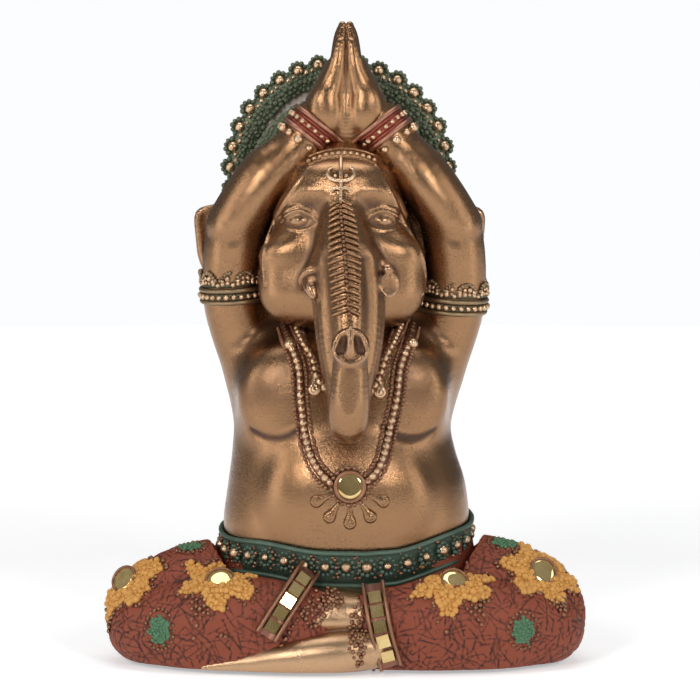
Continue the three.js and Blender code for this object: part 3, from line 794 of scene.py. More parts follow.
def head_clay():
    """Head, trunk and tusks."""
    h = CHIN_Z
    clay = Clay((-36, -69, h - 40), (36, 22, h + 72), 0.46)
    clay.add(stack([[h, -0.3, -9, 10, 8], [h + 4.5, -0.5, -9, 20.5, 17.5], [h + 12, -0.8, -9, 27.2, 22],
        [h + 20, -1, -8.6, 30, 23.3], [h + 28, -1.2, -8, 30.6, 23.4], [h + 36, -1.6, -7.6, 28.8, 23.2],
        [h + 45, -2.2, -7.2, 25.9, 23], [h + 54, -2, -6, 23.8, 23.2], [h + 63, -1.8, -5, 20.4, 20.8],
        [h + 68.5, -1.6, -4, 12, 12]], 2.25))
    clay.add(ball((0, -20.5, h + 22), (15, 11, 17)), 8)
    clay.add(ball((FACE_X, -20, h + 54), (16, 9.6, 12)), 9)
    for side in (-1, 1):
        def out(dx, y, dz):
            return FACE_X + side * (EYE_OUT + dx), y, h + EYE_UP + dz
        clay.add(ball(out(5, -21.6, -11.4), (10.5, 7.7, 6.6), (0, side * 12, 0)), 6)
        clay.add(ball(out(3.6, -19.8, -26.5), (11.5, 8.8, 11.5)), 9)
        # The brow, the hollow under it, the full upper lid and the eyeball.
        clay.add(limb([out(8.5, -17.5, 3), out(5, -21.8, 7.6), out(-1, -25.4, 10), out(-6.5, -27.2, 9),
            out(-11, -29, 4.5)], [0.8, 1.6, 2.0, 1.8, 0.8]), 5)
        clay.cut(ball(out(-1.6, -32.6, 5.2), (6.4, 4.6, 4), (0, side * 10, 0)), 4)
        clay.cut(ball(out(-1.2, -33.8, 1.4), (7.6, 4.6, 5.2), (0, side * 6, 0)), 4)
        clay.cut(ball(out(-8.6, -34.8, 1.5), (3.4, 4.6, 9)), 3.5)
        clay.add(ball(out(0.4, -24.2, 2.6), (5.8, 3.0, 3.6)), 2.5)
        clay.add(ball(out(0, -24.7, 0.0), (4.4, 3.9, 2.9)), 0.4)
    for side in (-1, 1):
        def on(places, sink=0.0):
            return clay.laid([(FACE_X + side * (EYE_OUT + dx), h + EYE_UP + dz) for dx, dz in places], sink)
        lids = [([(7.6, -0.4), (4.6, 2.4), (0.2, 3.9), (-4.0, 2.2), (-6.2, -0.6)], 0.5),
            ([(8.4, 1.4), (4.8, 4.2), (0.2, 5.6), (-4.6, 3.8), (-7.2, 0.8)], 0.42), ([(6.6, -1.8),
            (3.4, -3.0), (-0.4, -3.4), (-4.0, -2.6), (-6.0, -1.0)], 0.45)]
        for places, radius in lids:
            clay.add(limb(on(places, 0.1), [radius * 0.5, radius, radius, radius, radius * 0.5],
                count=17), 0.6)
        clay.cut(limb(on([(6.4, 0.2), (3.8, 2.0), (0, 3.1), (-3.6, 1.5), (-5.4, -0.4)], -0.1), 0.26,
            count=17), 0.4)
    # Tusks in collars: the right one short and pointed, the left one sawn off flat.
    clay.add(limb([(-16.2, -32, h + 18), (-16.4, -34.6, h + 21.4), (-14.2, -36.6, h + 24.2),
        (-10.6, -36.4, h + 24)], [0.8, 1.4, 1.7, 1.2]), 0.8)
    clay.add(limb([(-13.2, -33, h + 21.6), (-12.6, -39.4, h + 18.8), (-11.6, -42, h + 15.8)],
        [3.3, 3.2, 2.0]), 0.4)
    clay.add(limb([(15.6, -33, h + 21.8), (16.4, -43, h + 18.6)], [3.9, 3.8]), 0.25)
    sawn = np.array((0.40, -0.86, 0.30))
    clay.cut(ball(np.array((15.9, -40.6, h + 19.4)) + sawn * 30, (30, 30, 30)), 0.2)
    clay.add(limb([(13.4, -34, h + 26.4), (15.4, -37.6, h + 25)], [2.2, 2.3]), 0.4)
    # The trunk, down the face, over the chest and curled up in front of itself.
    clay.add(limb([(-1.8, -24.5, h + 57), (-1.5, -27.8, h + 48), (-0.9, -31.5, h + 38),
        (0.1, -34.5, h + 28)], [3.6, 5.6, 9, 11.3]), 4.5)
    clay.add(limb([(0.1, -34.5, h + 28), (1.0, -37, h + 17), (1.3, -39.6, h + 7), (1.4, -41.8, h - 2),
        (1.4, -43.6, h - 9), (1.3, -45, h - 16), (1.1, -46.8, h - 23), (1.0, -49.8, h - 28.4),
        (0.8, -54, h - 30.6), (0.9, -57.6, h - 28), (1.2, -59.2, h - 21), (1.5, -59.8, h - 13),
        (1.7, -60.0, h - 5)], [11.3, 12.2, 12, 11.2, 10, 8.9, 8.1, 7.5, 7.2, 7.3, 7.3, 6.6, 6.0]), 1.6)
    for side in (-1, 1):
        # Long flutes beside the ribs, and the folds that run from the trunk's root out to the tusks.
        clay.cut(limb([(side * 8.6 - 0.6, -43.4, h + 29), (side * 9.0 + 0.9, -47.6, h + 14),
            (side * 8.2 + 1.3, -50.8, h), (side * 6.6 + 1.3, -53.0, h - 10)], [0.4, 1.2, 1.2, 0.4]), 6.5)
        clay.add(limb([(side * 6.4 - 0.8, -33, h + 34), (side * 10.4, -33.2, h + 28),
            (side * 13.6 + 0.8, -31.5, h + 22.5)], [1.2, 2.2, 2.4]), 3.5)
        clay.add(limb([(side * 12.0 + 0.4, -36, h + 20), (side * 12.2 + 1.2, -37.2, h + 10),
            (side * 11.0 + 1.3, -40.2, h - 1), (side * 9.2 + 1.3, -43.4, h - 12)], [0.7, 0.8, 0.7, 0.4]),
            3.4)
    # The trunk's end: a round flat face with two nostrils in a raised rim.
    clay.add(limb([(1.7, -58.6, h - 2.6), (1.7, -62.4, h - 1.9)], [6.4, 6.9]), 0.6)
    clay.keep_beyond(1, -65.7)
    lip = [(1.7 + 5.8 * math.sin(a), -65.2, h - 2.2 - 5.8 * math.cos(a)) for a in np.linspace(-1.9, 1.9, 9)]
    clay.add(limb(lip, [0.4, 0.8, 1.1, 1.4, 1.6, 1.4, 1.1, 0.8, 0.4]), 1.2)
    for side in (-1, 1):
        clay.cut(ball((1.7 + side * 2.9, -66.4, h - 0.9), (1.5, 2.1, 3.9), (0, side * -14, 0)), 1.1)
        clay.cut(ball((1.7 + side * 3.5, -66.0, h - 3.4), (1.8, 1.5, 1.5)), 0.8)
    clay.add(limb([(1.7, -65.2, h + 4.5), (1.7, -65.7, h - 1), (1.7, -65.6, h - 5)], [1.0, 1.1, 0.8]), 1.2)
    # The thin raised line round the face.
    outline = {"right": [(-13.7, 63.5), (-18.7, 56.7), (-23.6, 49.4), (-27.2, 43), (-30.2, 34.6),
        (-31, 28), (-30.6, 20)], "left": [(11, 64.3), (17, 53.2), (21.2, 43.7), (24.4, 38.4),
        (28.6, 29.6), (30, 22), (29, 15.6)], }
    for line in outline.values():
        clay.add(limb(clay.laid([(x, h + z) for x, z in line], -0.05),
            [0.4, 0.5, 0.55, 0.6, 0.6, 0.55, 0.4]), 0.9)
    return clay


place_piece(head_clay().mesh("head_and_trunk", 1.8), GOLD, "head", "trunk", "right_tusk", "left_tusk")


def hands_clay():
    """Both hands pressed palm to palm, each with four fingers and its heel."""
    w, t = WRIST_Z, TIP_Z
    low, high, voxel = (-21, -22, w - 4), (21, 7, t + 1), 0.33
    clay = Clay(low, high, voxel)
    for side in (-1, 1):
        half = Clay(low, high, voxel)
        half.add(stack([[w - 3, side * 11.5, -8.4, 8.6, 8.6], [w + 3, side * 9.8, -8, 8.4, 9.2],
            [w + 8, side * 8.6, -7.6, 8, 10], [w + 13, side * 7.7, -7.4, 7.6, 10.6],
            [w + 18, side * 6.3, -7.2, 6.2, 10.6], [w + 23, side * 4.9, -7, 4.9, 10.2],
            [w + 27, side * 4.1, -7, 4, 9.4], ], 2.4))
        half.add(ball((side * 7.2, -15.2, w + 8.5), (5.2, 3.8, 8), (0, side * 12, 0)), 3.5)
        for y, top, root, radius in ((-15, 6.6, 4.4, 2.3), (-10.8, 2.4, 4.3, 2.4), (-6.2, 0.2, 4.3, 2.5),
                                     (-1.8, 3.4, 4.2, 2.4)):
            half.add(limb(mirrored(side, [(root + 0.6, y + 0.6, w + 17), (root - 1, y, w + 25), (2.3,
                y + 0.4, (w + 25 + t - top) / 2 + 2), (1.4, y + 0.8, t - top - 1.6)]),
                [3.4, 3.2, radius, 1.5]), 1.5)
        half.keep_beyond(0, side * 0.12, side)
        clay.field = np.minimum(clay.field, half.field)
    # The fleshy web that closes the hollow between the two heels.
    clay.add(limb([(0.3, -7.6, w - 3), (0.3, -11.2, w + 1), (0.2, -13.4, w + 6), (0.1, -13.8, w + 10),
        (0, -13.8, w + 16), (0, -14.2, w + 23), (0, -13.8, w + 30)], [6, 4.4, 2.8, 2.0, 1.5, 1.2, 0.6]),
        2.6)
    return clay


place_piece(hands_clay().mesh("joined_hands", 1.0), GOLD, "right_hand", "left_hand")


def ears_clay():
    """Both ears, thin and turned forward at the edge."""
    h = CHIN_Z
    clay = Clay((-60, -2, h + 8), (56, 16, h + 56), 0.6)
    for side, reach in ((-1, 58.4), (1, 53.4)):
        clay.add(ball((side * (reach - 21), 8.2, h + 33), (20.5, 2.6, 19)), 2)
        edge = [(side * (reach - 17), 7.2, h + 50.6), (side * (reach - 8), 7.4, h + 48.4),
            (side * (reach - 1.5), 7.6, h + 46), (side * (reach - 1.7), 7.6, h + 38),
            (side * (reach - 3.4), 7.4, h + 28), (side * (reach - 8.5), 7.2, h + 20),
            (side * (reach - 18), 7, h + 15)]
        clay.add(limb(edge, [0.9, 1.2, 1.5, 1.4, 1.3, 1.2, 0.9]), 1.6)
        clay.add(ball((side * (reach - 8), 8.4, h + 40), (7.6, 1.9, 8.6)), 2)
        clay.cut(ball((side * (reach - 12), 4.6, h + 36), (8, 2.6, 12)), 2.5)
    return clay


place_piece(ears_clay().mesh("ears", 1.2), GOLD, "right_ear", "left_ear")

# Legs in their cloth, and the seat behind them

RNG = np.random.default_rng(11)
KNEE_X = 91.4  # how far out the knees reach


def leg_clay(side, rise):
    low = (-92, -50, FLOOR_Z) if side < 0 else (3, -50, FLOOR_Z)
    high = (-3, 32, FLOOR_Z + 48) if side < 0 else (92, 32, FLOOR_Z + 48)
    clay = Clay(low, high, 0.44)
    knee = KNEE_X
    clay.add(limb(mirrored(side, [(18, 4, 25), (knee - 49, -6, 24.6 + rise),
        (knee - 33, -10.5, 22.8 + rise), (knee - 18.5, -14, 19.8 + rise * 0.6),
        (knee - 13.6, -16, 18.6)]), [19, 20.5, 20.4, 16.6, 13.4]), 3)
    clay.add(ball((side * (knee - 42), 2, 22), (37, 28, 19)), 6)
    clay.add(limb(mirrored(side, [(knee - 17, -24, 15.8), (knee - 36, -30.5, 17.2),
        (knee - 58, -33, 18.6), (12, -33.5, 19)]), [13.4, 15.6, 16.2, 15]), 1.2)
    clay.add(ball((side * (knee - 18.2), -18, 11), (16.8, 20, 12)), 4)
    clay.add(limb(mirrored(side, [(knee - 22, -27, 8.5), (knee - 36, -34, 8.5), (knee - 58, -37.5, 8.5),
        (16, -37.5, 8.5)]), [10, 11.5, 11.5, 10.5]), 4)
    # A hollow for the waist and the belt to sit in.
    clay.cut(stack([[BELT_Z - 21, 0, -2, 42, 34], [BELT_Z - 16, 0, -2, 50.4, 39.6],
        [BELT_Z + 12, 0, -2, 53, 41]], 2.2), 1.5)
    for x, y, z, turn in ((40, 10, 40, 9), (66, 6, 30, -8)):
        clay.cut(limb(mirrored(side, [(x - turn, y, z - 3), (x, y - 0.6, z), (x + turn, y, z + 3)]),
            [0.2, 0.6, 0.2]), 1.6)
    clay.scratch(2100, RNG, (3.5, 9.0), 0.38, lambda p, n: n[:, 2] > -0.75)
    return clay.keep_beyond(2, FLOOR_Z)


place_piece(leg_clay(-1, 0.4).mesh("right_leg_cloth", 0.9), RED, "right_leg")
place_piece(leg_clay(1, 2.2).mesh("left_leg_cloth", 0.9), RED, "left_leg")


def seat_clay():
    clay = Clay((-60, -37, FLOOR_Z), (60, 44, BELT_Z + 4), 0.72)
    clay.add(stack([[FLOOR_Z - 3, 0, 4, 55, 32], [FLOOR_Z + 6, 0, 4.6, 58, 35], [16, 0, 4.8, 58.4, 37],
        [30, 0, 4.4, 55, 36], [BELT_Z - 8, 0, 1, 50.5, 37.4], [BELT_Z + 2, 0, 0, 48.6, 36.6]], 2.1))
    clay.scratch(1500, RNG, (2.5, 6.5), 0.5, lambda p, n: (n[:, 1] > -0.2) & (n[:, 2] > -0.75))
    return clay.keep_beyond(2, FLOOR_Z)


place_piece(seat_clay().mesh("seat_cloth", 1.2), RED, "dhoti_seat")


def feet_clay():
    clay = Clay((-56, -55, FLOOR_Z), (14, -26, 36), 0.42)
    clay.add(limb([(-25, -39, 14.5), (-20, -39, 17.5), (-13, -39.2, 20.5), (-3, -39.4, 21), (6, -38, 20)],
        [4.5, 6, 7.6, 8.6, 9]), 1)
    clay.add(limb([(-18, -36, 23.5), (-6, -36.5, 24.5), (4, -35, 24)], [5.6, 6.4, 6.4]), 3)
    clay.add(limb([(-24, -43.6, 18.2), (-15, -45.2, 19.4), (-4, -45.6, 19.8), (2, -45, 18.6)],
        [1.2, 2.4, 2.6, 1.4]), 2)
    clay.add(limb([(-51.4, -43, FLOOR_Z + 0.6), (-44, -43.6, FLOOR_Z + 1.6), (-32, -44.4, FLOOR_Z + 3),
        (-20, -45.2, FLOOR_Z + 4.6), (-4, -45.6, FLOOR_Z + 6.4), (8, -44.4, FLOOR_Z + 7.8)],
        [2.6, 3.8, 5.8, 7.6, 8.5, 8.0], (1, 1, 0.97), 61), 1.2)
    return clay.keep_beyond(2, FLOOR_Z)


place_piece(feet_clay().mesh("feet", 1.2), FOOT_GOLD, "front_foot", "rear_foot")

LEGS = ("right_leg_cloth", "left_leg_cloth")
BODY = ("torso_and_arms",)

# Ankle bands: copper channels with a raised rim on each side, which hold the mirror tiles

# Half of a band's section, from its sunk edge over the rim to the tiles: [across, up].
HALF_SECTION = [(4.324, -2.5), (4.418, 0.9), (4.23, 1.9), (3.666, 2.3), (3.102, 1.9), (2.82, 1.1)]
SECTION = [(-u, v) for u, v in HALF_SECTION] + HALF_SECTION[::-1]

for side, inward in (("right", -1), ("left", 1)):
    centres = np.array([cad_middle(tile) for tile in ankle_tiles(side)])
    centres = np.vstack([centres[0] + (centres[0] - centres[1]) * 0.95 + (0, 1.6, 0), centres,
        centres[-1] + (centres[-1] - centres[-2]) * 0.8])
    line = smooth_line(centres, 40)
    line[:, 2] = np.maximum(line[:, 2], FLOOR_Z + 1.8)
    along = unit_rows(np.gradient(line, axis=0))
    facing = unit_rows(np.array((0.0, -1.0, 0.0)) + along * along[:, 1:2])
    across = np.cross(along, facing)
    line = line - facing * 1.5
    rows = [line + across * u + facing * v for u, v in SECTION]
    band = outward(sheet(f"{side}_ankle_channel", rows, closed=False, looped=True), line.mean(0) + (0, 6, 0))
    place_piece(band, BAND, f"{side}_ankle_band")
    wires(f"{side}_ankle_rims", [line + across * u + facing * 2.05 for u in (-3.7, 3.7)], 0.75, ROSE)
    beads(f"{side}_ankle_beads", [lay(LEGS, line + across * 6.6 * inward, 0.3)], 0.85, 2.6, ROSE,
        variation=0.25, seed=4)

# Beads strewn round the ankles

def strewn(centre, reach, gap, count=400):
    """Places scattered over an oval of the figure's front, no two closer than `gap`."""
    found = []
    for u, v in RNG.uniform(-1, 1, (count, 2)):
        if u * u + v * v < 1:
            place = lay(("feet",) + LEGS, [(centre[0] + reach[0] * u, 0, centre[1] + reach[1] * v)], 0.3)
            if len(place) and all(np.linalg.norm(place[0] - other) > gap for other in found):
                found.append(place[0])
    return found


anklets = strewn((-6, 27.5), (4.6, 3.6), 1.5) + strewn((-12, 22), (4, 4), 1.5) + strewn((4.5, 15),
    (3.4, 11), 1.5)
spots("anklet_beads", anklets, RNG.uniform(0.65, 1.05, len(anklets)), ROSE)

# Belt

# How high the belt's middle runs, at these turns from the front.
BELT_TURNS = [-180, -130, -90, -50, -20, 0, 10, 30, 60, 90, 130, 180]
BELT_HEIGHTS = [49, 46.5, 42.6, 40.6, 38.8, 37.6, 37.2, 38.8, 43.2, 47.8, 50, 49]


def short_turn(turn):
    """The same direction as a turn from -180 to 180 degrees."""
    return (turn + 180) % 360 - 180


def belt_lift(turn):
    turn = short_turn(turn)
    wave = 0.5 * math.sin(math.radians(turn * 7 + 40))
    return float(np.interp(turn, BELT_TURNS, BELT_HEIGHTS)) + wave - BELT_Z


def belt_ring(rise, proud, count=180):
    """A line round the waist; the belt is deeper in front."""
    def lift(turn):
        front = math.exp(-(short_turn(turn) / 50) ** 2)
        return belt_lift(turn) + rise * (1.06 + (0.1 * front if rise < 0 else 0))
    return hoop(BODY, (0, -1, BELT_Z), (0, 0, 1), proud, count, lift=lift)


STRAP_SECTION = ((-6.2, 0.2), (-6, 1.3), (-3, 1.15), (0, 1.1), (3, 1.15), (5.4, 1.3), (5.6, 0.2))
strap = sheet("belt_strap", [belt_ring(rise, proud) for rise, proud in STRAP_SECTION])
place_piece(outward(strap, (0, 0, BELT_Z)), BELT_DARK, "belt")
wires("belt_rims", [belt_ring(5.6, 1.2), belt_ring(-5.6, 1.2)], 0.95, BELT_RIM, closed=True)
wires("dhoti_hem", [belt_ring(-7.5, 0.6)], 1.5, RED, closed=True)
middle_line = even(belt_ring(0.6, 1.5), 7.7, closed=True)
spots("belt_studs", middle_line, RNG.uniform(1.7, 2.3, len(middle_line)), BEAD_GOLD)
# Round each stud a ring of small beads, and tiny ones strewn between the rings: [along, up].
SEEDS = ((3.9, 2.6), (4.2, -2.4), (4.1, 0.1), (3.0, 3.6), (-3.1, -3.6), (5.1, 1.4), (3.2, -3.9), (-3.4, 3.8))
small, tiny = [], []
for number, stud in enumerate(middle_line):
    out = unit([stud[0], stud[1] + 1, 0.0])
    level = np.array([-out[1], out[0], 0.0])
    for k in range(10):
        turn = k * 0.628 + number
        small.append(stud + 3.0 * (level * math.cos(turn) + np.array([0, 0, 1.0]) * math.sin(turn)))
    for dx, dz in SEEDS:
        tiny.append(stud + level * (dx + RNG.uniform(-0.4, 0.4)) + np.array([0, 0, dz + RNG.uniform(-0.3,
            0.3)]))
spots("belt_stud_rings", small, RNG.uniform(0.6, 0.95, len(small)), BELT_RIM)
spots("belt_seeds", tiny, RNG.uniform(0.4, 0.85, len(tiny)), ROSE_ON_BELT)

# Halo and crown

HALO = np.array([-2.9, cad_middle("halo")[1] + 0.3, 186.3])
LOBES, LOBE_PHASE = 33, 0.05
FRINGE = 11  # beads round each gold one


def round_halo(radius, y, count=LOBES, phase=LOBE_PHASE):
    turns = whole_turn(count) + phase
    return np.column_stack([HALO[0] + radius * np.cos(turns), np.full(count, HALO[1] + y),
        HALO[2] + radius * np.sin(turns)])


# Sections as [radius, y], walked round the ring and out along the plate.
RING = [(33.6, -1.5), (34.6, -3.6), (38, -4.3), (41.5, -4), (43.4, -2.4), (44, 0), (43.4, 2.4), (41.5, 4),
    (38, 4.2), (34.6, 3.4), (33.6, 1.5), (33.2, 0)]
PLATE = [(0.005, -0.6), (16, -0.7), (28, -1.2), (34.4, -2.2), (34.4, 2.2), (28, 1.4), (16, 0.9), (0.005, 0.8)]
place_piece(outward(turned("halo_ring", RING, HALO, 132), HALO), HALO_GREEN)
place_piece(outward(turned("halo_plate", PLATE, HALO, 96), HALO), SHELL_GOLD, "halo")
gold_spots = np.vstack([round_halo(42.5, -4.2), round_halo(42.5, 4.2)])
spots("halo_gold_beads", gold_spots, 2.05, BEAD_GOLD, variation=0.08, seed=3)
spots("halo_lobes", round_halo(42.1, 0), 3.9, HALO_GREEN, variation=0.02)
fringe = []
for gold in gold_spots:
    for k in range(FRINGE):
        turn = k * 2 * math.pi / FRINGE
        fringe.append(gold + np.array([3.1 * math.cos(turn), 1.1 * np.sign(HALO[1] - gold[1]),
            3.1 * math.sin(turn)]))
spots("halo_fringe_beads", fringe, 0.95, HALO_GREEN, variation=0.2)
strewn_rows = []
for face in (-1, 1):
    for radius, y in ((34.6, 3.4), (36.2, 4.0), (37.8, 4.4), (39.4, 4.4)):
        row = round_halo(radius, face * y, int(radius * 3.2), radius)
        strewn_rows.append(row + RNG.uniform(-0.55, 0.55, row.shape) * (1, 0.3, 1))
strewn_rows = np.vstack(strewn_rows)
spots("halo_pebbles", strewn_rows, RNG.uniform(0.75, 1.25, len(strewn_rows)), HALO_GREEN)
between = [p for face in (-1, 1) for r, shift in ((40.6, 0.03), (40.9, -0.03)) for p in round_halo(r,
    face * 4.6, phase=LOBE_PHASE + math.pi / LOBES + shift)]
spots("halo_small_gold_beads", between, 0.9, BEAD_GOLD, variation=0.2)


def crown_clay():
    h = HEAD_TOP_Z
    clay = Clay((-41, -31, h - 24), (36, 24, h + 24), 0.7)
    clay.add(ball((-2.9, 6.5, h - 14), (35.4, 16.5, 35.4)))
    clay.cut(ball((-2, -10, h - 46), (70, 60, 34)), 1)
    clay.keep_beyond(1, 18.6, -1)
    return clay.keep_beyond(2, h - 23)


def brim_clay():
    """The smooth gold cap that comes forward over the forehead."""
    h = HEAD_TOP_Z
    clay = Clay((-26, -30, h - 10), (22, 14, h + 14), 0.6)
    clay.add(stack([[h - 8, FACE_X, -4.6, 21.2, 22], [h - 4, FACE_X, -3.6, 20.2, 20.4],
        [h - 1, FACE_X, -3, 17.8, 17.6], [h + 3, FACE_X, -2, 14.5, 13], [h + 8, FACE_X, 0, 9, 8]]))
    clay.cut(ball((FACE_X, -14, h - 19.6), (24, 40, 15.6)), 0.6)
    return clay


crown = crown_clay().mesh("crown_dome", 1.2)
grown(crown, PEBBLES, HALO_GREEN, "crown", Gap=1.75 * MM, Density=600000.0, Radius=0.92 * MM,
    Variation=0.25, Seed=6)
place_piece(brim_clay().mesh("crown_brim", 1.2), GOLD)
BRIM = ((-14, -6.2), (-11, -4.9), (-7, -3.8), (-2, -3.2), (3, -3.5), (7.5, -4.4), (10.6, -5.6))


def brim_line(rise, proud):
    """A line along the cap's edge, `rise` above it."""
    return lay(("head_and_trunk", "crown_brim"), even([(x, 0, z + HEAD_TOP_Z + rise) for x, z in BRIM],
        1), proud)


wires("brim_rims", [brim_line(0, 0.15), brim_line(3.4, 0.1)], 0.5, GOLD)
beads("brim_beads", [brim_line(1.7, 0.1)], 0.85, 2.2, BEAD_GOLD)

# Ribs down the trunk, with a bead line between them: [x, z]

FACE = ("head_and_trunk",)
H = CHIN_Z
SPINE = [(-1.9, H + 52.5), (-1.7, H + 44), (-0.6, H + 33), (0.3, H + 22), (1.0, H + 12), (1.3, H + 7.5)]
RIB_ENDS = ([(-5.3, H + 51.5), (-6.0, H + 41), (-5.8, H + 29), (-4.7, H + 18), (-4.2, H + 5)],
    [(1.2, H + 51.5), (3.6, H + 42), (4.8, H + 33), (4.9, H + 24), (4.6, H + 5)])
RIB_TOP, RIB_FOOT = H + 50.5, H + 8.6


def across_at(line, z):
    return float(np.interp(z, [p[1] for p in line[::-1]], [p[0] for p in line[::-1]]))


ribs, z = [], RIB_TOP
while z > RIB_FOOT:
    middle = across_at(SPINE, z)
    for ends in RIB_ENDS:
        reach = across_at(ends, z - 1.4) - middle
        ribs.append(drop(FACE, [(middle + reach * t, z - 1.9 * t**1.2) for t in (0.14, 0.35, 0.56, 0.78,
            1.0)], 0.5))
    z -= 2.0 + 0.5 * (RIB_TOP - z) / 42
ribs = [rib for rib in ribs if len(rib) == 5]
wires("trunk_ribs", ribs, 0.86, GOLD, sizes=[[0.5, 0.9, 1.1, 1.15, 0.6]] * len(ribs))
beads("trunk_spine_beads", [drop(FACE, smooth_line(SPINE, 40), 0.6)], 0.7, 1.7, ROSE_ON_GOLD)

# Trident on the forehead: each stroke's [x, z] about its middle, and how thick it is there

TRIDENT = np.array((-1.9, H + 52.6))
PRONG = np.array([(3.3, 9.9), (4.6, 9.1), (4.8, 7.4), (3.9, 5.8), (2.0, 5.1), (0.3, 5.0)])
PRONG_SIZES = [0.3, 0.9, 1.1, 1.1, 1, 1]
strokes = [([(0, 13.2), (0, 11), (0, 8.5), (0, 5), (0, 1), (0, -3)], [0.2, 0.9, 1.5, 0.9, 1.1, 0.5]),
    (PRONG, PRONG_SIZES), (PRONG * (-1, 1), PRONG_SIZES), ([(-3, 1.9), (-1.5, 2.4), (0, 1.9), (1.5, 2.4),
    (3, 1.9)], [0.9, 0.8, 1.4, 0.8, 0.9])]
wires("trident_strokes", [drop(FACE, TRIDENT + line, 0.8) for line, _ in strokes], 0.74, GOLD_ON_COPPER,
    "forehead_trident", sizes=[sizes for _, sizes in strokes])
DOTS = [(-2, 6.9), (2, 6.9), (0, 4.2), (-3, 1.4), (3, 1.4), (-2, 0.5), (2, 0.5)]
spots("trident_dots", drop(FACE, TRIDENT + DOTS, 0.45), [0.8, 0.8, 0.9, 0.75, 0.75, 0.5, 0.5], BEAD_GOLD)

# Necklaces and pendant

STRANDS = [[(-23.5, 127), (-21, 121), (-17.6, 112), (-16.9, 101), (-15.2, 88), (-12.6, 79), (-9.2, 73.6),
    (-5.8, 70.5)], [(25.4, 127), (23.4, 121), (20.2, 112), (18.8, 101), (15.8, 88), (13.6, 79), (11, 74),
    (7.8, 71)], ]
side_rows, big_rows = [], []
for line in STRANDS:
    path = smooth_line(line, 60)
    step = np.gradient(path, axis=0)
    normal = np.column_stack([-step[:, 1], step[:, 0]]) / np.linalg.norm(step, axis=1, keepdims=True)
    big_rows.append(drop(BODY, path, 0.5))
    side_rows += [drop(BODY, path + normal * offset, 0.15) for offset in (-2.5, 2.5)]
wires("strand_cords", [row + (0, 0.9, 0) for row in big_rows], 1.7, CORD_BROWN)
for number, side in enumerate(SIDES):
    beads(f"{side}_strand_beads", [big_rows[number]], 1.45, 2.55, BEAD_GOLD, f"{side}_necklace_strand",
        variation=0.12, seed=1 + number)
beads("strand_side_beads", side_rows, 0.85, 1.5, ROSE_ON_GOLD, variation=0.2)
choker = smooth_line([(-19, 127), (-16.5, 121.5), (-12.6, 115.5), (-10.6, 108), (-5, 102.5), (1.5, 101),
    (8, 102.5), (12.2, 108), (14.6, 115.5), (18, 121.5), (20.6, 127)], 80)
beads("choker_beads", [drop(BODY, choker, 0.8)], 1.45, 2.7, BEAD_GOLD, "inner_necklace", variation=0.12,
    seed=8)
beads("choker_side_beads", [drop(BODY, choker * (k, 1) + (0, r), 0.3) for k, r in ((1.15, 1.8),
    (0.86, -1.6))], 0.9, 1.75, ROSE_ON_GOLD, variation=0.2)
spots("necklace_bosses", drop(BODY, [(-20.9, 120), (24.6, 120.3)], 1.0), 2.4, BEAD_GOLD)


def drops_clay(drops, low, high):
    """Teardrops [x, z, turn, length] lying on the chest, each a bulb drawn out to a point."""
    clay = Clay(low, high, 0.3)
    for x, z, turn, length in drops:
        a = math.radians(turn)
        laid = drop(BODY, [(x + t * length * math.sin(a),
            z - t * length * math.cos(a)) for t in (0, 0.45, 0.72)], 0.6)
        clay.add(limb(laid, [0.7, 1.5, 2.5], (1, 0.7, 1)), 0.2)
        clay.cut(limb(laid[1:] + np.array([0, -1.7, 0]), [0.3, 1.1]), 0.5)
        clay.add(limb(laid[1:] + np.array([0, -0.7, 0]), [0.3, 1.0]), 0.3)
    return clay


PENDANT = cad_middle("pendant_mirror")
DROP_LENGTH = 8.0
fan = [(PENDANT[0] + 7.6 * math.sin(math.radians(a)), PENDANT[2] - 7.6 * math.cos(math.radians(a)), a,
    DROP_LENGTH) for a in (-66, -34, 0, 34, 66)]
pair = [(-11.3, 110, -6, DROP_LENGTH), (12.4, 109, 4, DROP_LENGTH)]
place_piece(drops_clay(fan, (-16, -43, 50), (19, -30, 78)).mesh("pendant_drops", 0.7), GOLD,
    "pendant_setting")
place_piece(drops_clay(pair, (-16, -42, 98), (17, -24, 113)).mesh("choker_drops", 0.7), BEAD_GOLD)


def circle(centre, normal, radius, count=64):
    level, upright = face_axes(normal)
    turns = whole_turn(count)[:, None]
    return centre + radius * (np.cos(turns) * level + np.sin(turns) * upright)


def disc(name, centre, normal, radius, thickness):
    """A round plate with softened edges, its face at `centre`."""
    section = ((0.01, 0), (radius * 0.6, 0), (radius - 0.25, 0), (radius, -0.2), (radius, -thickness),
        (0.01, -thickness))
    rows = [circle(centre + normal * rise, normal, r, 48) for r, rise in section]
    return outward(sheet(name, rows), centre - normal * thickness / 2)


on_chest, chest_out = cast(BODY, (PENDANT[0], -CLEAR, PENDANT[2]), (0, 1, 0))
place_piece(disc("pendant_glass", on_chest + chest_out * 1.0, chest_out, 5.0, 1.2), MIRROR, "pendant_mirror")
wires("pendant_rim", [circle(on_chest + chest_out * 1.3, chest_out, 5.4)], 0.75, ROSE_ON_GOLD, closed=True)
beads("pendant_ring_beads", [circle(on_chest + chest_out * 0.9, chest_out, 6.9)], 0.85, 2.4, ROSE_ON_GOLD,
    closed=True)

# Armlets and bracelets

CUFFED = BODY + ("joined_hands",)
DROP_SIZES = [1.5, 1.8, 1.5, 1.9, 1.4, 1.8, 1.5]
ARCH = 10  # steps from one arch of an armlet to the next

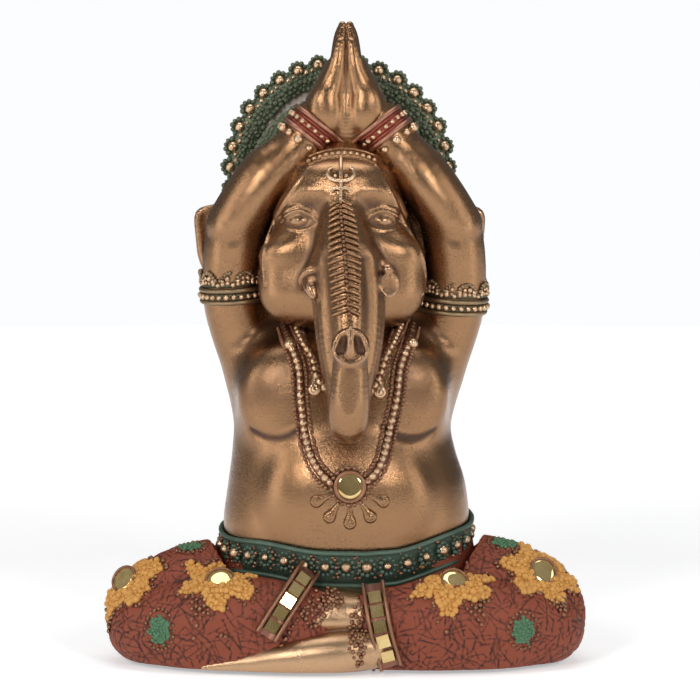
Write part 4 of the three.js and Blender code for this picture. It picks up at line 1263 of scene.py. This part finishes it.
for side, name in zip((-1, 1), SIDES):
    arm, arm_axis = cad_middle(f"{name}_armlet"), np.array([side * 0.06, -0.12, 1.0])
    wrist, wrist_axis = cad_middle(f"{name}_bracelet"), np.array([-side * 0.62, 0.0, 0.78])

    def armlet(rise, proud):
        return hoop(BODY, arm + arm_axis * rise, arm_axis, proud, 72)

    def cuff(rise, proud):
        return hoop(CUFFED, wrist + wrist_axis * rise, wrist_axis, proud, 72, reach=16)

    wires(f"{name}_armlet_rims", [armlet(-6.0, 0.5), armlet(-1.5, 0.6)], 0.95, OLIVE, f"{name}_armlet",
        closed=True)
    wires(f"{name}_armlet_ground", [armlet(r, 0.1) for r in (-4.4, -3.2, 0.6)], 0.95, DARK_OLIVE, closed=True)
    beads(f"{name}_armlet_beads", [armlet(-3.8, 0.9)], 1.2, 2.9, BEAD_GOLD, closed=True)
    arches, filling = [], []
    for number, place in enumerate(even(armlet(0, 0.5), 1.0, closed=True)):
        bow = math.sin(math.pi * (number % ARCH) / ARCH)
        arches.append(place + arm_axis * (1.3 + 4.1 * bow))
        if number % 2 == 0:
            filling += [place + arm_axis * (0.8 + 2.6 * bow * t) for t in (0.3, 1.0)]
    spots(f"{name}_armlet_arches", arches, 0.78, OLIVE, variation=0.3, seed=9)
    spots(f"{name}_armlet_filling", filling, 0.95, BEAD_GOLD, variation=0.25, seed=10)
    wires(f"{name}_bracelet_rims", [cuff(r, 0.8) for r in (-3.3, 3.3)], 0.95, BRIGHT_ROSE,
        f"{name}_bracelet", closed=True)
    wires(f"{name}_bracelet_fillets", [cuff(r, 0.1) for r in (-1.9, -0.6, 0.6, 1.9)], 0.85, COPPER,
        closed=True)
    beads(f"{name}_bracelet_beads", [cuff(0, 0.9)], 1.1, 3.3, GOLD_ON_COPPER, closed=True, variation=0.2)
    hanging = hoop(CUFFED, wrist - wrist_axis * 6.4, wrist_axis, 0.7, len(DROP_SIZES), arc=(-96, 96),
        reach=16)
    spots(f"{name}_bracelet_drops", hanging, DROP_SIZES[:len(hanging)], BEAD_GOLD)

# Flowers and rosettes on the cloth

CLOTH = LEGS + ("seat_cloth",)
HOLE, GLASS_RADIUS = 4.4, 4.7  # the flower's skin leaves a hole that the mirror covers
ABOVE = 20  # how far off the cloth a patch's rays start


def patch_of(skins, centre, normal, reach, inside, lift, step=0.7, depth=8):
    """A piece of skin round a place, cut to an outline and lifted off the cloth."""
    level, upright = face_axes(normal)
    marks = np.linspace(-reach, reach, int(2 * reach / step) + 1)
    points, index = [], {}
    for i, u in enumerate(marks):
        for j, v in enumerate(marks):
            if inside(u, v):
                hit = cast(skins, centre + level * u + upright * v + normal * ABOVE, -normal)
                if hit and abs(np.dot(hit[0] - centre, normal)) < depth:
                    index[i, j] = len(points)
                    points.append(hit[0] + normal * lift)
    faces = [[index[i, j], index[i + 1, j], index[i + 1, j + 1], index[i, j + 1]] for i,
        j in index if all(k in index for k in ((i + 1, j), (i + 1, j + 1), (i, j + 1)))]
    return points, faces, level, upright


def flower_outline(radius, petals, notch, turn, squash):
    def inside(u, v):
        v = v / squash
        angle = math.atan2(v, u) + turn
        edge = radius * (1 - notch + notch * math.cos(petals * angle) + 0.05 * math.sin(11 * angle + radius))
        return math.hypot(u, v) < edge
    return inside


# name: the way it faces, radius, petals, depth of the notches, turn, squash
FLOWERS = {"right_knee": ((-17, -6, 11), 15.5, 5, 0.14, 0.3, 1.0), "right_thigh": ((-1, -25, 15), 17.0, 6,
    0.17, 0.0, 0.86), "left_thigh": ((0, -25, 13), 17.0, 6, 0.17, 0.2, 0.86), "left_knee": ((11, -13, 19),
    16.5, 6, 0.15, 0.5, 0.95), "back": ((0, 30, 4), 14, 6, 0.16, 0, 1)}
for number, (name, (away, radius, petals, notch, turn, squash)) in enumerate(FLOWERS.items()):
    start = cad_middle(f"{name}_flower_mirror") + unit(away) * 60
    ray = unit(away)
    hit = cast(CLOTH, start, -ray)
    around = [cast(CLOTH, start + np.array(s), -ray) for s in ((3, 0, 0), (-3, 0, 0), (0, 0, 3), (0, 0, -3))]
    normal = unit(np.mean([h[1] for h in around if h] + [hit[1]], axis=0))
    tilted = unit(normal + np.array((0, -0.55 if ray[1] < 0 else 0, 0)))
    outline = flower_outline(radius, petals, notch, turn, squash)
    points, faces, level, upright = patch_of(CLOTH, hit[0], normal, radius + 1, lambda u, v: outline(u,
        v) and math.hypot(u, v) > HOLE, 0.45)
    grown(bare(f"{name}_flower_pebbles", points, faces=faces), PEBBLES, YELLOW, f"{name}_flower",
        Gap=1.4 * MM, Density=2000000.0, Radius=1.0 * MM, Variation=0.5, Seed=20 + number)
    glass = hit[0] + tilted * 1.0
    place_piece(disc(f"{name}_flower_glass", glass, tilted, GLASS_RADIUS, 1.4), MIRROR,
        f"{name}_flower_mirror")
    wires(f"{name}_flower_seat", [circle(glass + tilted * 0.1, tilted, 5.0)], 0.5, ROSE_ON_YELLOW,
        closed=True)

    def under(u, v):
        """Where the cloth lies under a place in the flower's plane."""
        return cast(CLOTH, hit[0] + level * u + upright * v + normal * ABOVE, -normal)

    edge = []
    for k in range(70):
        c, t = math.cos(2 * math.pi * k / 70), math.sin(2 * math.pi * k / 70)
        reach = next((r for r in np.arange(radius + 2, 4, -0.25) if outline(r * c, r * squash * t)),
            radius) + 1.0
        foot = under(reach * c, reach * squash * t)
        if foot and (k * 7 + number) % 10 < 6:
            edge.append(foot[0] + foot[1] * 0.2)
    # A little wedge of beads hangs under each flower.
    for row in range(5):
        for k in range(5 - row):
            foot = under((k - (4 - row) / 2) * 1.75 + 1.0, -(radius * squash * 0.8 + 0.6 + row * 1.5))
            if foot:
                edge.append(foot[0] + foot[1] * 0.35)
    spots(f"{name}_flower_edge_beads", edge, 0.8, ROSE, variation=0.3)

# name: the way it faces, radius, squash
ROSETTES = {"right_shin": ((-6, -25, -1), 5.0, 1.25), "left_shin": ((4, -25, -1), 5.2, 1.1),
    "right_thigh": ((-2, -6, 20), 5.6, 0.7), "left_thigh": ((2, -6, 20), 6.0, 0.7),
    "right_back": ((-8, 24, 3), 5.4, 1.0), "left_back": ((8, 24, 3), 5.4, 1.0)}
for number, (name, (away, radius, squash)) in enumerate(ROSETTES.items()):
    ray = unit(away)
    hit = cast(CLOTH, cad_middle(f"{name}_rosette") + ray * 60, -ray)
    points, faces, level, upright = patch_of(CLOTH, hit[0], ray, radius + 3, flower_outline(radius, 7,
        0.1, 0.3, squash), 0.35, 0.6)
    grown(bare(f"{name}_rosette_pebbles", points, faces=faces), PEBBLES, GREEN, f"{name}_rosette",
        Gap=0.95 * MM, Density=3500000.0, Radius=0.62 * MM, Variation=0.35, Seed=40 + number)
    rim = radius + 0.9
    edge = [cast(CLOTH, hit[0] + level * rim * math.cos(a) + upright * rim * squash * math.sin(a)
        + ray * ABOVE, -ray) for a in whole_turn(22)]
    spots(f"{name}_rosette_edge_beads", [e[0] + e[1] * 0.15 for e in edge if e], 0.6, ROSE, variation=0.25)

# The tiles and the felt pad keep their CAD shapes

kept_nodes = {tile: MIRROR for side in SIDES for tile in ankle_tiles(side)}
for node, finish in {**kept_nodes, "felt_pad": FELT}.items():
    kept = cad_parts[node]
    painted(kept, finish)


# ---- Stage: floor, light and camera ----

FLOOR_RADIUS = 3000
AIM = (0, 0, 0.12)  # where every light points, in metres
# name: place in metres, width and height in metres, watts
LIGHTS = {"left_softbox": ((-1.0, -0.45, 0.35), (0.26, 1.0), 3.0), "right_softbox": ((1.0, -0.4, 0.3),
    (0.24, 1.0), 2.5), "front_left_softbox": ((-0.5, -1.0, 0.6), (0.16, 0.3), 4.4),
    "front_right_softbox": ((0.52, -1.0, 0.58), (0.16, 0.3), 3.7), "top_softbox": ((0, 0, 1.05),
    (0.9, 0.5), 4.6), }


def make_floor():
    """A pale table top that glows, dim near the figure and white with distance: painted light."""
    floor = bare("floor", [(FLOOR_RADIUS * math.cos(a), FLOOR_RADIUS * math.sin(a),
        0) for a in whole_turn(64)], faces=[list(range(64))])
    p = Paint("paper_table")
    shade = p.mix(p.noise(3.0), (0.86, 0.86, 0.86), (0.84, 0.84, 0.84))
    far = p.node("ShaderNodeVectorMath", (p.place,), output="Value", operation="LENGTH").between(0.3, 1.1)
    # The floor's glow is painted light, dim near the figure so its shadow stays and white far off.
    floor.data.materials.append(p.finish(Base_Color=shade, Roughness=0.6, Emission_Strength=1.0,
        Emission_Color=p.mix(far, (0.42, 0.42, 0.42), (0.95, 0.95, 0.95))))


def stand(name, data, place, target):
    """Puts a light or a camera in the scene, looking at a target."""
    thing = bpy.data.objects.new(name, data)
    bpy.context.scene.collection.objects.link(thing)
    thing.location = place
    thing.rotation_euler = (Vector(target) - Vector(place)).to_track_quat("-Z", "Y").to_euler()
    return thing


def make_lights():
    for name, (place, size, power) in LIGHTS.items():
        data = bpy.data.lights.new(name, "AREA")
        data.shape, data.size, data.size_y = "RECTANGLE", *size
        data.energy = power
        stand(name, data, place, AIM)


def make_room():
    """Bright walls at the sides and above, a dark room in front, and plain white where nothing stands."""
    world = bpy.data.worlds.new("studio")
    bpy.context.scene.world = world
    world.use_nodes = True
    room = Nodes()
    room.tree = world.node_tree
    toward = room.node("ShaderNodeSeparateXYZ", (room.node("ShaderNodeTexCoord", output="Generated"),))
    x, y, z = (S(room, toward.socket.node.outputs[k]) for k in range(3))
    wall = (x * x * 0.16 + z * 0.12 + y * 0.04 + 0.055).clamp()
    seen = room.node("ShaderNodeLightPath", output="Is Camera Ray")
    background = room.tree.nodes["Background"]
    room.link(background.inputs["Color"], (0.97, 0.98, 1.0))
    room.link(background.inputs["Strength"], seen * 1.0 + (1.0 - seen) * wall)


def make_camera():
    """Level with the face and tilted a little down, far enough away for a long lens."""
    data = bpy.data.cameras.new("camera")
    data.lens, data.sensor_width = 120.2, 36
    bpy.context.scene.camera = stand("camera", data, (0.0015, -0.9, 0.165), (0.0015, 0, 0.1174))


make_floor()
make_room()
make_lights()
make_camera()
bpy.context.scene.view_settings.view_transform = "Standard"
